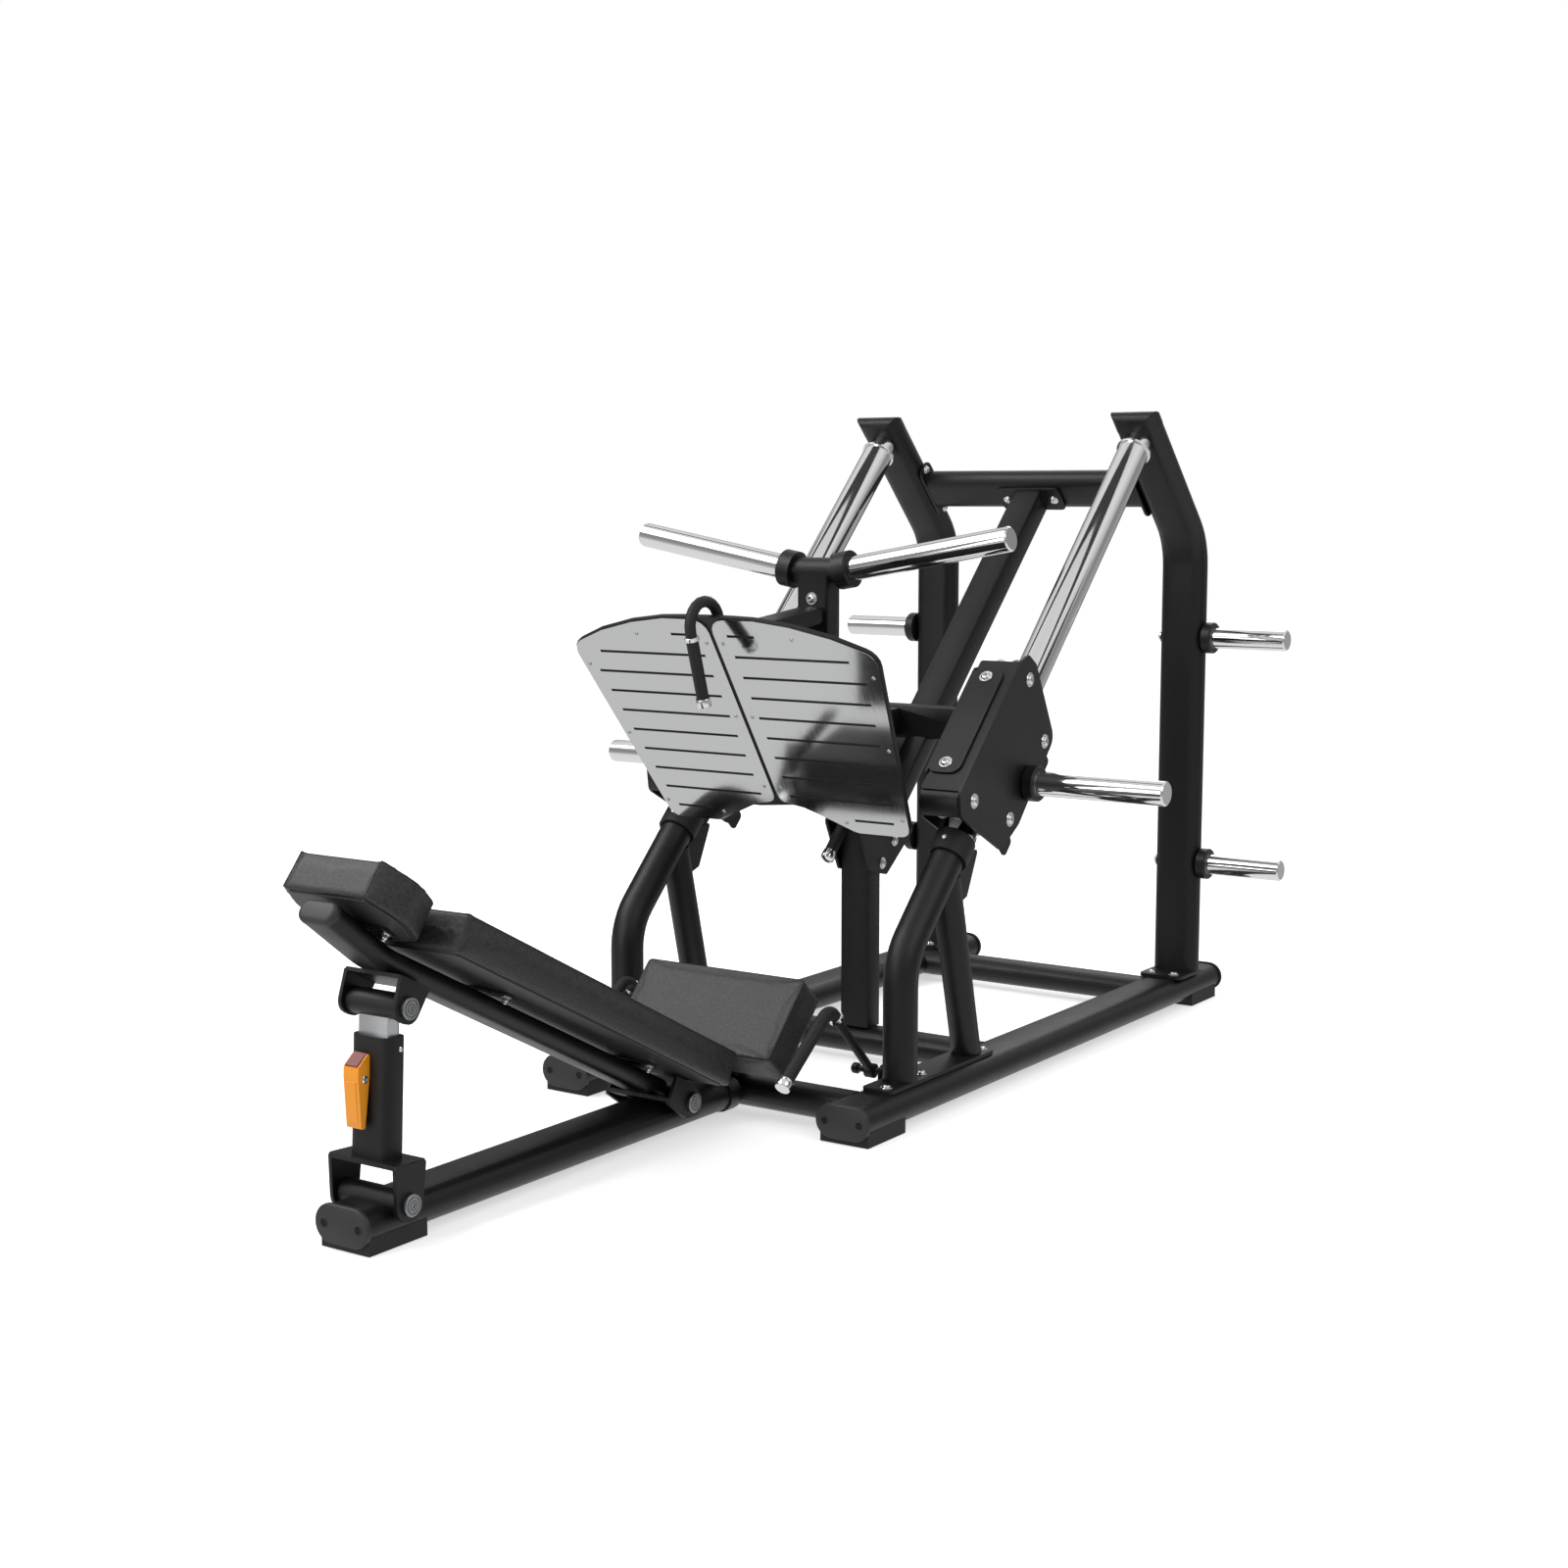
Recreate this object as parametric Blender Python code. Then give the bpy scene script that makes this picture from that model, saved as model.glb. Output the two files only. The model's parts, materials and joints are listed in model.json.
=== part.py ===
"""Plate-loaded leg press: a welded steel frame, a sled on two inclined guide rails,
a tilting backrest on a telescopic strut, and a fixed seat.

Metres, +Z up.  +X is to the user's left when seated, +Y runs from the headrest to the
uprights.  The origin is on the floor under the centre of the machine's bounding box.
Points below are given from the datum, a point on the floor in the middle of the width.
"""
import math

import bmesh
import bpy
from mathutils import Matrix, Quaternion, Vector

# Driving dimensions ---------------------------------------------------------------
DATUM_Y = 0.0248            # the datum's place behind the centre of the bounding box
FIT = 0.0003                # gap between pieces that touch
WALL = 0.003                # wall of the frame tubes
BEAM = (0.112, 0.060)       # flat-oval floor beam, wide and narrow ways
OVAL = (0.108, 0.058)       # flat-oval upright
CROSS_WIDTH = 0.076         # flat-oval tube of the floor cross beams
UPPER_CROSS = (0.100, 0.050)
POST_SECTION = (0.071, 0.050)
STRUT_SECTION = (0.070, 0.060)
SIDE_X = 0.333              # middle of each side beam, rail and upright
FOOT_BASE = 0.0135          # rubber under the beams
FOOT_SIZE = (0.106, 0.134, 0.030)

CENTRE_FRONT_Y = -1.278
SIDE_FRONT_Y = -0.320
SIDE_REAR_Y = 1.276
REAR_FOOT_Y = 1.191
FRONT_CROSS_Y = -0.223
MIDDLE_CROSS_Y = 0.262
REAR_CROSS_Y = 1.046
UPRIGHT_Y = 1.149
UPRIGHT_TOP_Z = 1.385
UPRIGHT_NOSE = 0.017        # radii of the top's front and rear corners
UPRIGHT_HEEL = 0.020
UPRIGHT_BEND = 0.14

RAIL_PITCH = math.radians(45)
RAIL_N = 0.309              # rail axis, square to the slope, from the datum
RAIL_RADIUS = 0.035
RAIL_FOOT_S = 0.405         # ends of the rail, measured up the slope
UPRIGHT_S = 1.5867          # middle of the uprights' leaning part, up the slope
LEG_RADIUS = 0.034
LEG_Y = -0.120
REAR_LEG_RADIUS = 0.030
UPPER_CROSS_N = 0.135
STRUT_N = 0.130

ROLLER_OFFSET = 0.0705      # roller axle to rail axis
ROLLER_PLACES = ((0.795, 1), (0.750, -1), (0.479, 1), (0.545, -1))
ROLLER_HALF = 0.019
ROLLER_GAP = 0.001
AXLE_RADIUS = 0.007
HOUSING_X = (0.2863, 0.3830)
HOUSING_SHEET = 0.005
HOUSING_FRONT_N = 0.434

HORN_RADIUS = 0.025
SLED_HORN_Y, SLED_HORN_Z = 0.294, 0.6195
SLED_HORN_TIP = 0.690
STORAGE_Z = (0.872, 0.340)
STORAGE_TIP = 0.589
STORAGE_RADIUS = 0.024
TOP_HORN_Y, TOP_HORN_Z = 0.097, 1.050
TOP_HORN_TILT = math.radians(10)
TOP_HORN_X = 0.056
TOP_HORN_LENGTH = 0.394

PLATE_TOP = (-0.2514, 0.9005)     # y and z of the tread face's reference line
PLATE_LEAN = math.radians(33.1)
TREAD_THICK = 0.003
BACKING_THICK = 0.008
SLOT_PITCH = 0.0493
SLOT_FIRST = -0.0413
SLOT_COUNT = 10
SLOT_HEIGHT = 0.006

BACK_START = (-0.430, 0.0705)     # where lengths along the backrest start
BACK_PIVOT = (-0.445, 0.0700)
STRUT_PIVOT = (-1.2055, 0.0715)
CLEVIS_PIVOT = (-1.189, 0.389)
BACK_SLOPE = math.radians(27.2)
HEAD_SLOPE = math.radians(38)
HEAD_BEND_T = 0.866               # from the hinge, along the backrest tube
HEAD_TUBE = 0.1435
BACK_TUBE = (0.080, 0.040)
PAD_THICK = 0.069
BACK_PAD = (0.300, 0.012, 0.842)  # width, and both ends from the hinge
PIN_RADIUS = 0.008
BUSH_RADIUS = 0.022
UPPER_EAR_X = (0.0563, 0.0633)    # inner and outer faces of the clevis ears
LOWER_EAR_X = (0.0680, 0.0750)
SLEEVE_SECTION = (0.086, 0.048)
INNER_SECTION = (0.066, 0.028)
LINK_PLAY = 0.0045                # slack between the upper pin and its bush

SEAT_WIDTH = 0.380
LEVER_X = 0.245
LEVER_PIVOT = (-0.085, 0.080)
STOP_PIVOT = (0.226, 0.546)
HOOK_PIVOT = (-0.2150, 0.9380)
HANDLE_RADIUS = 0.0130
HOOK_RADIUS = 0.0110
ARC_STEPS = 4
BEND_STEPS = 6
ROUND_SIDES = 24

X, Y, Z = Vector((1, 0, 0)), Vector((0, 1, 0)), Vector((0, 0, 1))

for old in list(bpy.data.objects):
    bpy.data.objects.remove(old, do_unlink=True)


# Frames and materials -------------------------------------------------------------
def empty(name, place, parent=None):
    """A joint's axis marker; its place is given from the datum."""
    marker = bpy.data.objects.new(name, None)
    bpy.context.scene.collection.objects.link(marker)
    marker["datum_place"] = tuple(place)
    marker.parent = parent
    marker.location = Vector(place) - (Vector(parent["datum_place"]) if parent else Vector())
    return marker


DATUM = empty("datum", (0, 0, 0))
DATUM.location = (0, DATUM_Y, 0)


def material(name, colour, roughness, metallic):
    """A plain finish for the model."""
    finish = bpy.data.materials.new(name)
    finish.use_nodes = True
    shader = finish.node_tree.nodes["Principled BSDF"]
    shader.inputs["Base Color"].default_value = (*colour, 1)
    shader.inputs["Roughness"].default_value = roughness
    shader.inputs["Metallic"].default_value = metallic
    return finish


FINISHES = {
    "paint": ((0.018, 0.018, 0.019), 0.42, 0.0),
    "chrome": ((0.82, 0.82, 0.83), 0.06, 1.0),
    "steel": ((0.55, 0.56, 0.57), 0.28, 1.0),
    "rubber": ((0.015, 0.015, 0.015), 0.75, 0.0),
    "vinyl": ((0.045, 0.045, 0.047), 0.55, 0.0),
    "orange": ((0.85, 0.30, 0.02), 0.40, 0.0),
    "nylon": ((0.55, 0.55, 0.52), 0.45, 0.0),
}


def slope(s, n, x=0.0):
    """A point s up the rails' slope and n square to it, from the datum."""
    across, up = math.cos(RAIL_PITCH), math.sin(RAIL_PITCH)
    return Vector((x, s * across - n * up, s * up + n * across))


def back(t, n, x=0.0):
    """A point t along the backrest tube towards the head, n square to it."""
    return Vector((x, BACK_START[0] - t * math.cos(BACK_SLOPE) + n * math.sin(BACK_SLOPE),
                   BACK_START[1] + t * math.sin(BACK_SLOPE) + n * math.cos(BACK_SLOPE)))


def on_strut(length, rear=0.0, x=0.0):
    """A point along the strut's axis from its lower pivot, and square to it towards the rear."""
    across, up = (Vector(CLEVIS_PIVOT) - Vector(STRUT_PIVOT)).normalized()
    return Vector((x, STRUT_PIVOT[0] + length * across + rear * up,
                   STRUT_PIVOT[1] + length * up - rear * across))


def head(t, n, x=0.0):
    """A point t along the headrest's steeper tube from its bend, n square to it."""
    return back(HEAD_BEND_T, 0, x) + Vector(
        (0, -t * math.cos(HEAD_SLOPE) + n * math.sin(HEAD_SLOPE),
         t * math.sin(HEAD_SLOPE) + n * math.cos(HEAD_SLOPE)))


def tread(x, down, behind=0.0):
    """A point on the foot plate: x across, down its slope, and behind its tread face."""
    return Vector((x, PLATE_TOP[0] + down * math.sin(PLATE_LEAN) + behind * math.cos(PLATE_LEAN),
                   PLATE_TOP[1] - down * math.cos(PLATE_LEAN) + behind * math.sin(PLATE_LEAN)))


# Modelling tools ------------------------------------------------------------------
def build(name, mesh_data, finish, pivot=None, cutter=False):
    """Make the named object from points given from the datum, on its pivot's empty."""
    pivot = pivot or DATUM
    mesh_data.transform(Matrix.Translation(-Vector(pivot["datum_place"])))
    bmesh.ops.recalc_face_normals(mesh_data, faces=mesh_data.faces)
    mesh = bpy.data.meshes.new(name)
    mesh_data.to_mesh(mesh)
    mesh_data.free()
    mesh.shade_smooth()
    mesh.set_sharp_from_angle(angle=math.radians(35))
    thing = bpy.data.objects.new(name, mesh)
    bpy.context.scene.collection.objects.link(thing)
    thing.parent = pivot
    if cutter:
        thing.hide_render = True
        thing.display_type = "WIRE"
    else:
        colour, roughness, metallic = FINISHES[finish]
        mesh.materials.append(material(name, colour, roughness, metallic))
    return thing


def combine(target, mesh_data, operation, label):
    """Cut a shape out of the target, or weld it on."""
    tool = build(f"{target.name}_{label}", mesh_data, None, target.parent, cutter=True)
    step = target.modifiers.new(label, "BOOLEAN")
    step.operation = operation
    step.solver = "EXACT"
    step.object = tool
    return tool


def cut(target, mesh_data, label):
    return combine(target, mesh_data, "DIFFERENCE", label)


def weld(target, mesh_data, label):
    return combine(target, mesh_data, "UNION", label)


def rounded(width, height, radius, steps=ARC_STEPS):
    """A rectangle's outline with round corners; a flat oval when they meet."""
    points = []
    for turn, (side, top) in enumerate(((1, 1), (-1, 1), (-1, -1), (1, -1))):
        for step in range(steps + 1):
            angle = math.radians(90 * (turn + step / steps))
            point = Vector((side * (width / 2 - radius) + radius * math.cos(angle),
                            top * (height / 2 - radius) + radius * math.sin(angle)))
            if not points or (point - points[-1]).length > 1e-6:
                points.append(point)
    if (points[0] - points[-1]).length < 1e-6:
        points.pop()
    return points


def oval(width, height, shrink=0.0):
    return rounded(width - 2 * shrink, height - 2 * shrink, height / 2 - shrink)


def circle(radius, sides=ROUND_SIDES):
    return [Vector((radius * math.cos(math.tau * step / sides),
                    radius * math.sin(math.tau * step / sides))) for step in range(sides)]


def filleted(corners, steps=ARC_STEPS):
    """An outline through corners given as (x, y, radius), with the corners rounded."""
    points = []
    for index, (x, y, radius) in enumerate(corners):
        corner = Vector((x, y))
        before = (Vector(corners[index - 1][:2]) - corner).normalized()
        after = (Vector(corners[(index + 1) % len(corners)][:2]) - corner).normalized()
        if not radius:
            points.append(corner)
            continue
        half = before.angle(after) / 2
        centre = corner + (before + after).normalized() * radius / math.sin(half)
        start = corner + before * radius / math.tan(half) - centre
        end = corner + after * radius / math.tan(half) - centre
        sweep_angle = start.angle_signed(end)
        for step in range(steps + 1):
            angle = -sweep_angle * step / steps
            points.append(centre + Matrix.Rotation(angle, 2) @ start)
    return points


def off_corner(before, corner, after, radius):
    """The outline of what rounding takes off a corner."""
    arc = filleted(((*before, 0), (*corner, radius), (*after, 0)), BEND_STEPS)[1:-1]
    outward = (Vector(corner) - (arc[0] + arc[-1]) / 2).normalized() * 0.08
    return arc + [arc[-1] + outward, arc[0] + outward]


def bent(corners, radius, steps=BEND_STEPS):
    """A path through the corners, with each bend an arc."""
    path = [corners[0]]
    for before, corner, after in zip(corners, corners[1:], corners[2:]):
        backward = (before - corner).normalized()
        forward = (after - corner).normalized()
        turn = math.pi - backward.angle(forward)
        middle = corner + (backward + forward).normalized() * radius / math.cos(turn / 2)
        start = corner + backward * radius * math.tan(turn / 2) - middle
        axis = start.cross(-backward).normalized()
        for step in range(steps + 1):
            path.append(middle + Quaternion(axis, turn * step / steps) @ start)
    path.append(corners[-1])
    return path


def bridge(mesh_data, one, two):
    """Faces between two rings of points."""
    for index in range(len(one)):
        following = (index + 1) % len(one)
        mesh_data.faces.new((one[index], one[following], two[following], two[index]))


def sweep(path, side, outline, bore=None, ends=(None, None)):
    """The outline carried along the path, with a bore if given.

    side is the outline's x direction.  ends are the directions that the end faces
    look along, or None for square ends.
    """
    mesh_data = bmesh.new()
    last = len(path) - 1

    def rings(shape):
        made = []
        for index, place in enumerate(path):
            behind = (place - path[max(index - 1, 0)]).normalized()
            ahead = (path[min(index + 1, last)] - place).normalized()
            along = (behind + ahead).normalized()
            stretch = 1.0
            if 0 < index < last:
                stretch = 1 / math.cos(behind.angle(ahead) / 2)
            up = side.cross(along) * stretch
            face = ends[0] if index == 0 else ends[1] if index == last else None
            ring = []
            for point in shape:
                spot = place + side * point.x + up * point.y
                if face is not None:
                    spot = spot + along * (place - spot).dot(face) / along.dot(face)
                ring.append(mesh_data.verts.new(spot))
            made.append(ring)
        return made

    outer = rings(outline)
    for one, two in zip(outer, outer[1:]):
        bridge(mesh_data, one, two)
    if bore:
        inner = rings(bore)
        for one, two in zip(inner, inner[1:]):
            bridge(mesh_data, one, two)
        bridge(mesh_data, outer[0], inner[0])
        bridge(mesh_data, outer[-1], inner[-1])
    else:
        mesh_data.faces.new(outer[0])
        mesh_data.faces.new(outer[-1])
    return mesh_data


def turned(profile, start, along, sides=ROUND_SIDES, closed=False):
    """A turned piece: (distance, radius) points spun about the line from start."""
    mesh_data = bmesh.new()
    along = along.normalized()
    side = along.orthogonal().normalized()
    up = along.cross(side)
    rings = []
    for distance, radius in profile:
        centre = start + along * distance
        rings.append([mesh_data.verts.new(centre + side * point.x + up * point.y)
                      for point in circle(radius, sides)])
    for one, two in zip(rings, rings[1:]):
        bridge(mesh_data, one, two)
    if closed:
        bridge(mesh_data, rings[-1], rings[0])
    else:
        mesh_data.faces.new(rings[0])
        mesh_data.faces.new(rings[-1])
    return mesh_data


def rod(start, end, radius, sides=ROUND_SIDES):
    return turned(((0, radius), ((end - start).length, radius)), start, end - start, sides)


def sleeve(start, end, radius, bore, sides=ROUND_SIDES):
    length = (end - start).length
    profile = ((0, radius), (length, radius), (length, bore), (0, bore))
    return turned(profile, start, end - start, sides, closed=True)


def slab(outline, place, depth_from, depth_to, along):
    """A plate: outline points placed by place(point), thick along one direction."""
    mesh_data = bmesh.new()
    one = [mesh_data.verts.new(place(point) + along * depth_from) for point in outline]
    two = [mesh_data.verts.new(place(point) + along * depth_to) for point in outline]
    bridge(mesh_data, one, two)
    mesh_data.faces.new(one)
    mesh_data.faces.new(two)
    return mesh_data


def side_slab(outline, x_from, x_to):
    """A plate square to X, from (y, z) points."""
    return slab(outline, lambda point: Vector((0, point[0], point[1])), x_from, x_to, X)


def slope_slab(outline, x_from, x_to):
    """A plate square to X, from (s, n) points on the rails' slope."""
    return slab(outline, lambda point: slope(point[0], point[1]), x_from, x_to, X)


def block(low, high, radius=0.0):
    """A box along the axes between two corners, its upright edges rounded."""
    size = Vector(high) - Vector(low)
    middle = (Vector(high) + Vector(low)) / 2
    if radius:
        outline = rounded(size.x, size.y, radius)
    else:
        outline = [Vector((a * size.x / 2, b * size.y / 2)) for a, b in ((1, 1), (-1, 1), (-1, -1), (1, -1))]
    return slab(outline, lambda point: Vector((middle.x + point.x, middle.y + point.y, 0)),
                low[2], high[2], Z)


def handle(stretches, side):
    """A round handle: each stretch is a path and its radius, and they follow on."""
    mesh_data = bmesh.new()
    places = [(place, radius) for path, radius in stretches for place in path]
    rings = []
    for index, (place, radius) in enumerate(places):
        before = next((p for p, r in reversed(places[:index]) if (p - place).length > 1e-6), None)
        after = next((p for p, r in places[index + 1:] if (p - place).length > 1e-6), None)
        along = ((place - before).normalized() if before else Vector()) + \
                ((after - place).normalized() if after else Vector())
        up = side.cross(along.normalized())
        rings.append([mesh_data.verts.new(place + side * point.x + up * point.y)
                      for point in circle(radius, 16)])
    for one, two in zip(rings, rings[1:]):
        bridge(mesh_data, one, two)
    mesh_data.faces.new(rings[0])
    mesh_data.faces.new(rings[-1])
    return mesh_data


# Heights and lines worked out from the driving dimensions --------------------------
BEAM_Z = FOOT_BASE + BEAM[1] / 2
BEAM_TOP = FOOT_BASE + BEAM[1]
BEAM_INNER_X = SIDE_X - BEAM[0] / 2
INNER_X = SIDE_X - OVAL[0] / 2
OUTER_X = SIDE_X + OVAL[0] / 2
UPRIGHT_FACE_S = UPRIGHT_S - OVAL[1] / 2
UP_SLOPE = slope(1, 0)
OFF_SLOPE = slope(0, 1)
SIDES = (("left", 1), ("right", -1))


# Floor frame ----------------------------------------------------------------------
def floor_beam(name, x, y_from, y_to):
    path = [Vector((x, y_from, BEAM_Z)), Vector((x, y_to, BEAM_Z))]
    return build(name, sweep(path, X, oval(*BEAM), oval(*BEAM, WALL)), "paint")


def cross_beam(name, y):
    """A floor beam between the side beams, its ends shaped to their round sides."""
    reach = BEAM_INNER_X + BEAM[1] / 3
    path = [Vector((-reach, y, BEAM_Z)), Vector((reach, y, BEAM_Z))]
    beam = build(name, sweep(path, Y, oval(CROSS_WIDTH, BEAM[1] - 2 * FIT),
                             oval(CROSS_WIDTH, BEAM[1] - 2 * FIT, WALL)), "paint")
    for label, side in SIDES:
        seat = [Vector((side * SIDE_X, y - CROSS_WIDTH, BEAM_Z)),
                Vector((side * SIDE_X, y + CROSS_WIDTH, BEAM_Z))]
        cut(beam, sweep(seat, X, oval(*BEAM, -FIT)), label)
    return beam


def pivot_bush(pivot, ears):
    """Ends of the welded tube that a pivot pin turns in, between two ears."""
    reach = ears[0] - 0.0013
    middle = Vector((0, *pivot))
    return middle - X * reach, middle + X * reach


def centre_beam():
    """The front spine, with two pivot tubes welded in its top and a rear flange."""
    rear = FRONT_CROSS_Y - CROSS_WIDTH / 2 - FIT
    beam = floor_beam("centre_beam", 0, CENTRE_FRONT_Y, rear)
    flange = [Vector((0, rear - 0.034, BEAM_Z)), Vector((0, rear, BEAM_Z))]
    weld(beam, sweep(flange, X, oval(*BEAM, -0.004), oval(*BEAM, 0.001)), "joint_flange")
    for label, pivot in (("strut_bush", STRUT_PIVOT), ("back_bush", BACK_PIVOT)):
        start, end = pivot_bush(pivot, LOWER_EAR_X)
        weld(beam, rod(start, end, BUSH_RADIUS), label)
        cut(beam, rod(start - X * 0.02, end + X * 0.02, PIN_RADIUS + 0.0008), f"{label}_bore")
    return beam


def foot(name, x, y):
    """A rubber foot that cradles the beam's underside."""
    width, length, height = FOOT_SIZE
    pad = build(name, block((x - width / 2, y - length / 2, 0), (x + width / 2, y + length / 2, height)),
                "rubber")
    path = [Vector((x, y - length, BEAM_Z)), Vector((x, y + length, BEAM_Z))]
    cut(pad, sweep(path, X, oval(*BEAM, -FIT)), "cradle")
    return pad


def lever_lug(beam, side):
    """The pivot lug and pin for a seat-side lever, welded to the side beam."""
    y, z = LEVER_PIVOT
    outline = filleted(((y - 0.020, 0.024, 0), (y + 0.020, 0.024, 0),
                        (y + 0.016, z + 0.016, 0.014), (y - 0.016, z + 0.016, 0.014)))
    inner = side * (BEAM_INNER_X - 0.006)
    weld(beam, side_slab(outline, inner, side * (BEAM_INNER_X + 0.0015)), "lever_lug")
    tip = Vector((side * (LEVER_X - 0.042), y, z))
    reach = BEAM_INNER_X - 0.003 - (LEVER_X - 0.042)
    knob = turned(((0, 0.008), (0.003, 0.011), (0.013, 0.011), (0.016, 0.006), (reach, 0.006)),
                  tip, X * side, 16)
    weld(beam, knob, "lever_pin")


def floor_frame():
    centre_beam()
    for label, side in SIDES:
        beam = floor_beam(f"{label}_side_beam", side * SIDE_X, SIDE_FRONT_Y, SIDE_REAR_Y)
        lever_lug(beam, side)
        pad = foot(f"{label}_front_foot", side * SIDE_X, SIDE_FRONT_Y + FOOT_SIZE[1] / 2)
        notch = [Vector((side * (BEAM_INNER_X - 0.03), FRONT_CROSS_Y, BEAM_Z)),
                 Vector((side * (BEAM_INNER_X + 0.024), FRONT_CROSS_Y, BEAM_Z))]
        cut(pad, sweep(notch, Y, oval(CROSS_WIDTH, BEAM[1], -FIT)), "cross_beam_notch")
        foot(f"{label}_rear_foot", side * SIDE_X, REAR_FOOT_Y)
    foot("centre_foot", 0, CENTRE_FRONT_Y + FOOT_SIZE[1] / 2)
    for name, y in (("front_cross_beam", FRONT_CROSS_Y), ("middle_cross_beam", MIDDLE_CROSS_Y),
                    ("rear_cross_beam", REAR_CROSS_Y)):
        cross_beam(name, y)


# Uprights, legs and rails ---------------------------------------------------------
BASE_LOW = BEAM_TOP + FIT
BASE_HIGH = BASE_LOW + 0.008


def upright(label, side):
    """An oval tube that stands on the side beam and leans over to meet the rail."""
    x = side * SIDE_X
    corner_z = UPRIGHT_S / math.sin(RAIL_PITCH) - UPRIGHT_Y
    top_y = UPRIGHT_S / math.sin(RAIL_PITCH) - UPRIGHT_TOP_Z
    path = bent([Vector((x, UPRIGHT_Y, BASE_HIGH - 0.001)), Vector((x, UPRIGHT_Y, corner_z)),
                 Vector((x, top_y, UPRIGHT_TOP_Z))], UPRIGHT_BEND)
    post = build(f"{label}_upright", sweep(path, X, oval(*OVAL), oval(*OVAL, WALL), (None, Z)), "paint")
    weld(post, block((x - 0.053, UPRIGHT_Y - 0.096, BASE_LOW), (x + 0.053, UPRIGHT_Y + 0.031, BASE_HIGH),
                     0.012), "base_plate")
    reach = OVAL[1] / 2 / math.sin(RAIL_PITCH)
    front, rear = (top_y - reach, UPRIGHT_TOP_Z), (top_y + reach, UPRIGHT_TOP_Z)
    for end, corner, opposite, radius in (("nose", front, rear, UPRIGHT_NOSE), ("heel", rear, front, UPRIGHT_HEEL)):
        below = (corner[0] + 0.1, corner[1] - 0.1)
        cut(post, side_slab(off_corner(below, corner, opposite, radius), x - 0.1, x + 0.1), end)


def leg_frame(label, side):
    """Front and rear legs on one base plate, which carry the rail's lower end."""
    x = side * SIDE_X
    corner_z = LEG_Y + RAIL_N / math.cos(RAIL_PITCH)
    path = bent([Vector((x, LEG_Y, BASE_HIGH - 0.001)), Vector((x, LEG_Y, corner_z)),
                 slope(RAIL_FOOT_S - FIT, RAIL_N, x)], 0.13)
    leg = build(f"{label}_leg_frame", sweep(path, X, circle(LEG_RADIUS), circle(LEG_RADIUS - WALL)), "paint")
    low = Vector((x, 0.138, BASE_HIGH - 0.001))
    high = Vector((x, 0.046, 0.455))
    rear = weld(leg, sweep([low, high], X, circle(REAR_LEG_RADIUS), circle(REAR_LEG_RADIUS - WALL), (Z, None)),
                "rear_leg")
    fitting = build(f"{label}_leg_frame_cope", sweep(path, X, circle(LEG_RADIUS - 0.0016)), None, cutter=True)
    cope = rear.modifiers.new("cope", "BOOLEAN")
    cope.operation = "DIFFERENCE"
    cope.solver = "EXACT"
    cope.object = fitting
    weld(leg, block((x - 0.034, -0.209, BASE_LOW), (x + 0.034, 0.196, BASE_HIGH), 0.012), "base_plate")
    cut(leg, rod(Vector((x, 0.138, 0)), Vector((x, 0.138, BASE_HIGH + 0.012)), 0.006, 12), "drain_hole")
    gusset = filleted(((0.360, 0.277, 0), (0.3825, 0.277, 0), (0.3825, 0.2655, 0), (0.428, 0.262, 0.006),
                       (0.474, 0.228, 0.006), (0.378, 0.194, 0), (0.335, 0.215, 0)))
    weld(leg, slope_slab(gusset, x - 0.003, x + 0.003), "gusset")


def rail_set(label, side):
    """The chromed guide tube and the collar that clamps its lower end."""
    x = side * SIDE_X
    foot_end = slope(RAIL_FOOT_S, RAIL_N, x)
    top_end = slope(UPRIGHT_FACE_S - FIT, RAIL_N, x)
    ring = UPRIGHT_FACE_S - RAIL_FOOT_S - 0.028
    profile = ((0, RAIL_RADIUS), (ring - 0.006, RAIL_RADIUS), (ring - 0.006, RAIL_RADIUS + 0.004),
               (ring, RAIL_RADIUS + 0.004), (ring, RAIL_RADIUS - 0.004),
               ((top_end - foot_end).length, RAIL_RADIUS - 0.004),
               ((top_end - foot_end).length, RAIL_RADIUS - 0.009), (0, RAIL_RADIUS - 0.005))
    build(f"{label}_guide_rail", turned(profile, foot_end, UP_SLOPE, 28, closed=True), "chrome")
    build(f"{label}_rail_collar", sleeve(slope(0.384, RAIL_N, x), slope(0.434, RAIL_N, x),
                                         RAIL_RADIUS + 0.0065, RAIL_RADIUS + FIT, 28), "rubber")


def upper_cross():
    """The oval tube between the uprights' leaning parts, with its bolted end plates."""
    reach = INNER_X - 0.0014
    path = [slope(UPRIGHT_S, UPPER_CROSS_N, -reach), slope(UPRIGHT_S, UPPER_CROSS_N, reach)]
    width, height = UPPER_CROSS
    outline = [Vector((point.x, point.y)) for point in oval(width, height)]
    bore = oval(width, height, WALL)
    tube = build("upper_cross_tube", sweep(path, OFF_SLOPE, outline, bore), "paint")
    for label, side in SIDES:
        plate = filleted(((-0.026, -0.076, 0.020), (0.026, -0.076, 0.020), (0.026, 0.076, 0.020),
                          (-0.026, 0.076, 0.020)))
        shape = [Vector((UPRIGHT_S + point.x, UPPER_CROSS_N + point.y)) for point in plate]
        outer = side * (INNER_X - FIT)
        weld(tube, slope_slab(shape, outer - side * 0.006, outer), f"{label}_end_plate")
        cut(tube, rod(slope(UPRIGHT_S, UPPER_CROSS_N, side * 0.2), slope(UPRIGHT_S, UPPER_CROSS_N, side * 0.3),
                      0.008, 12), f"{label}_bore")


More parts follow.
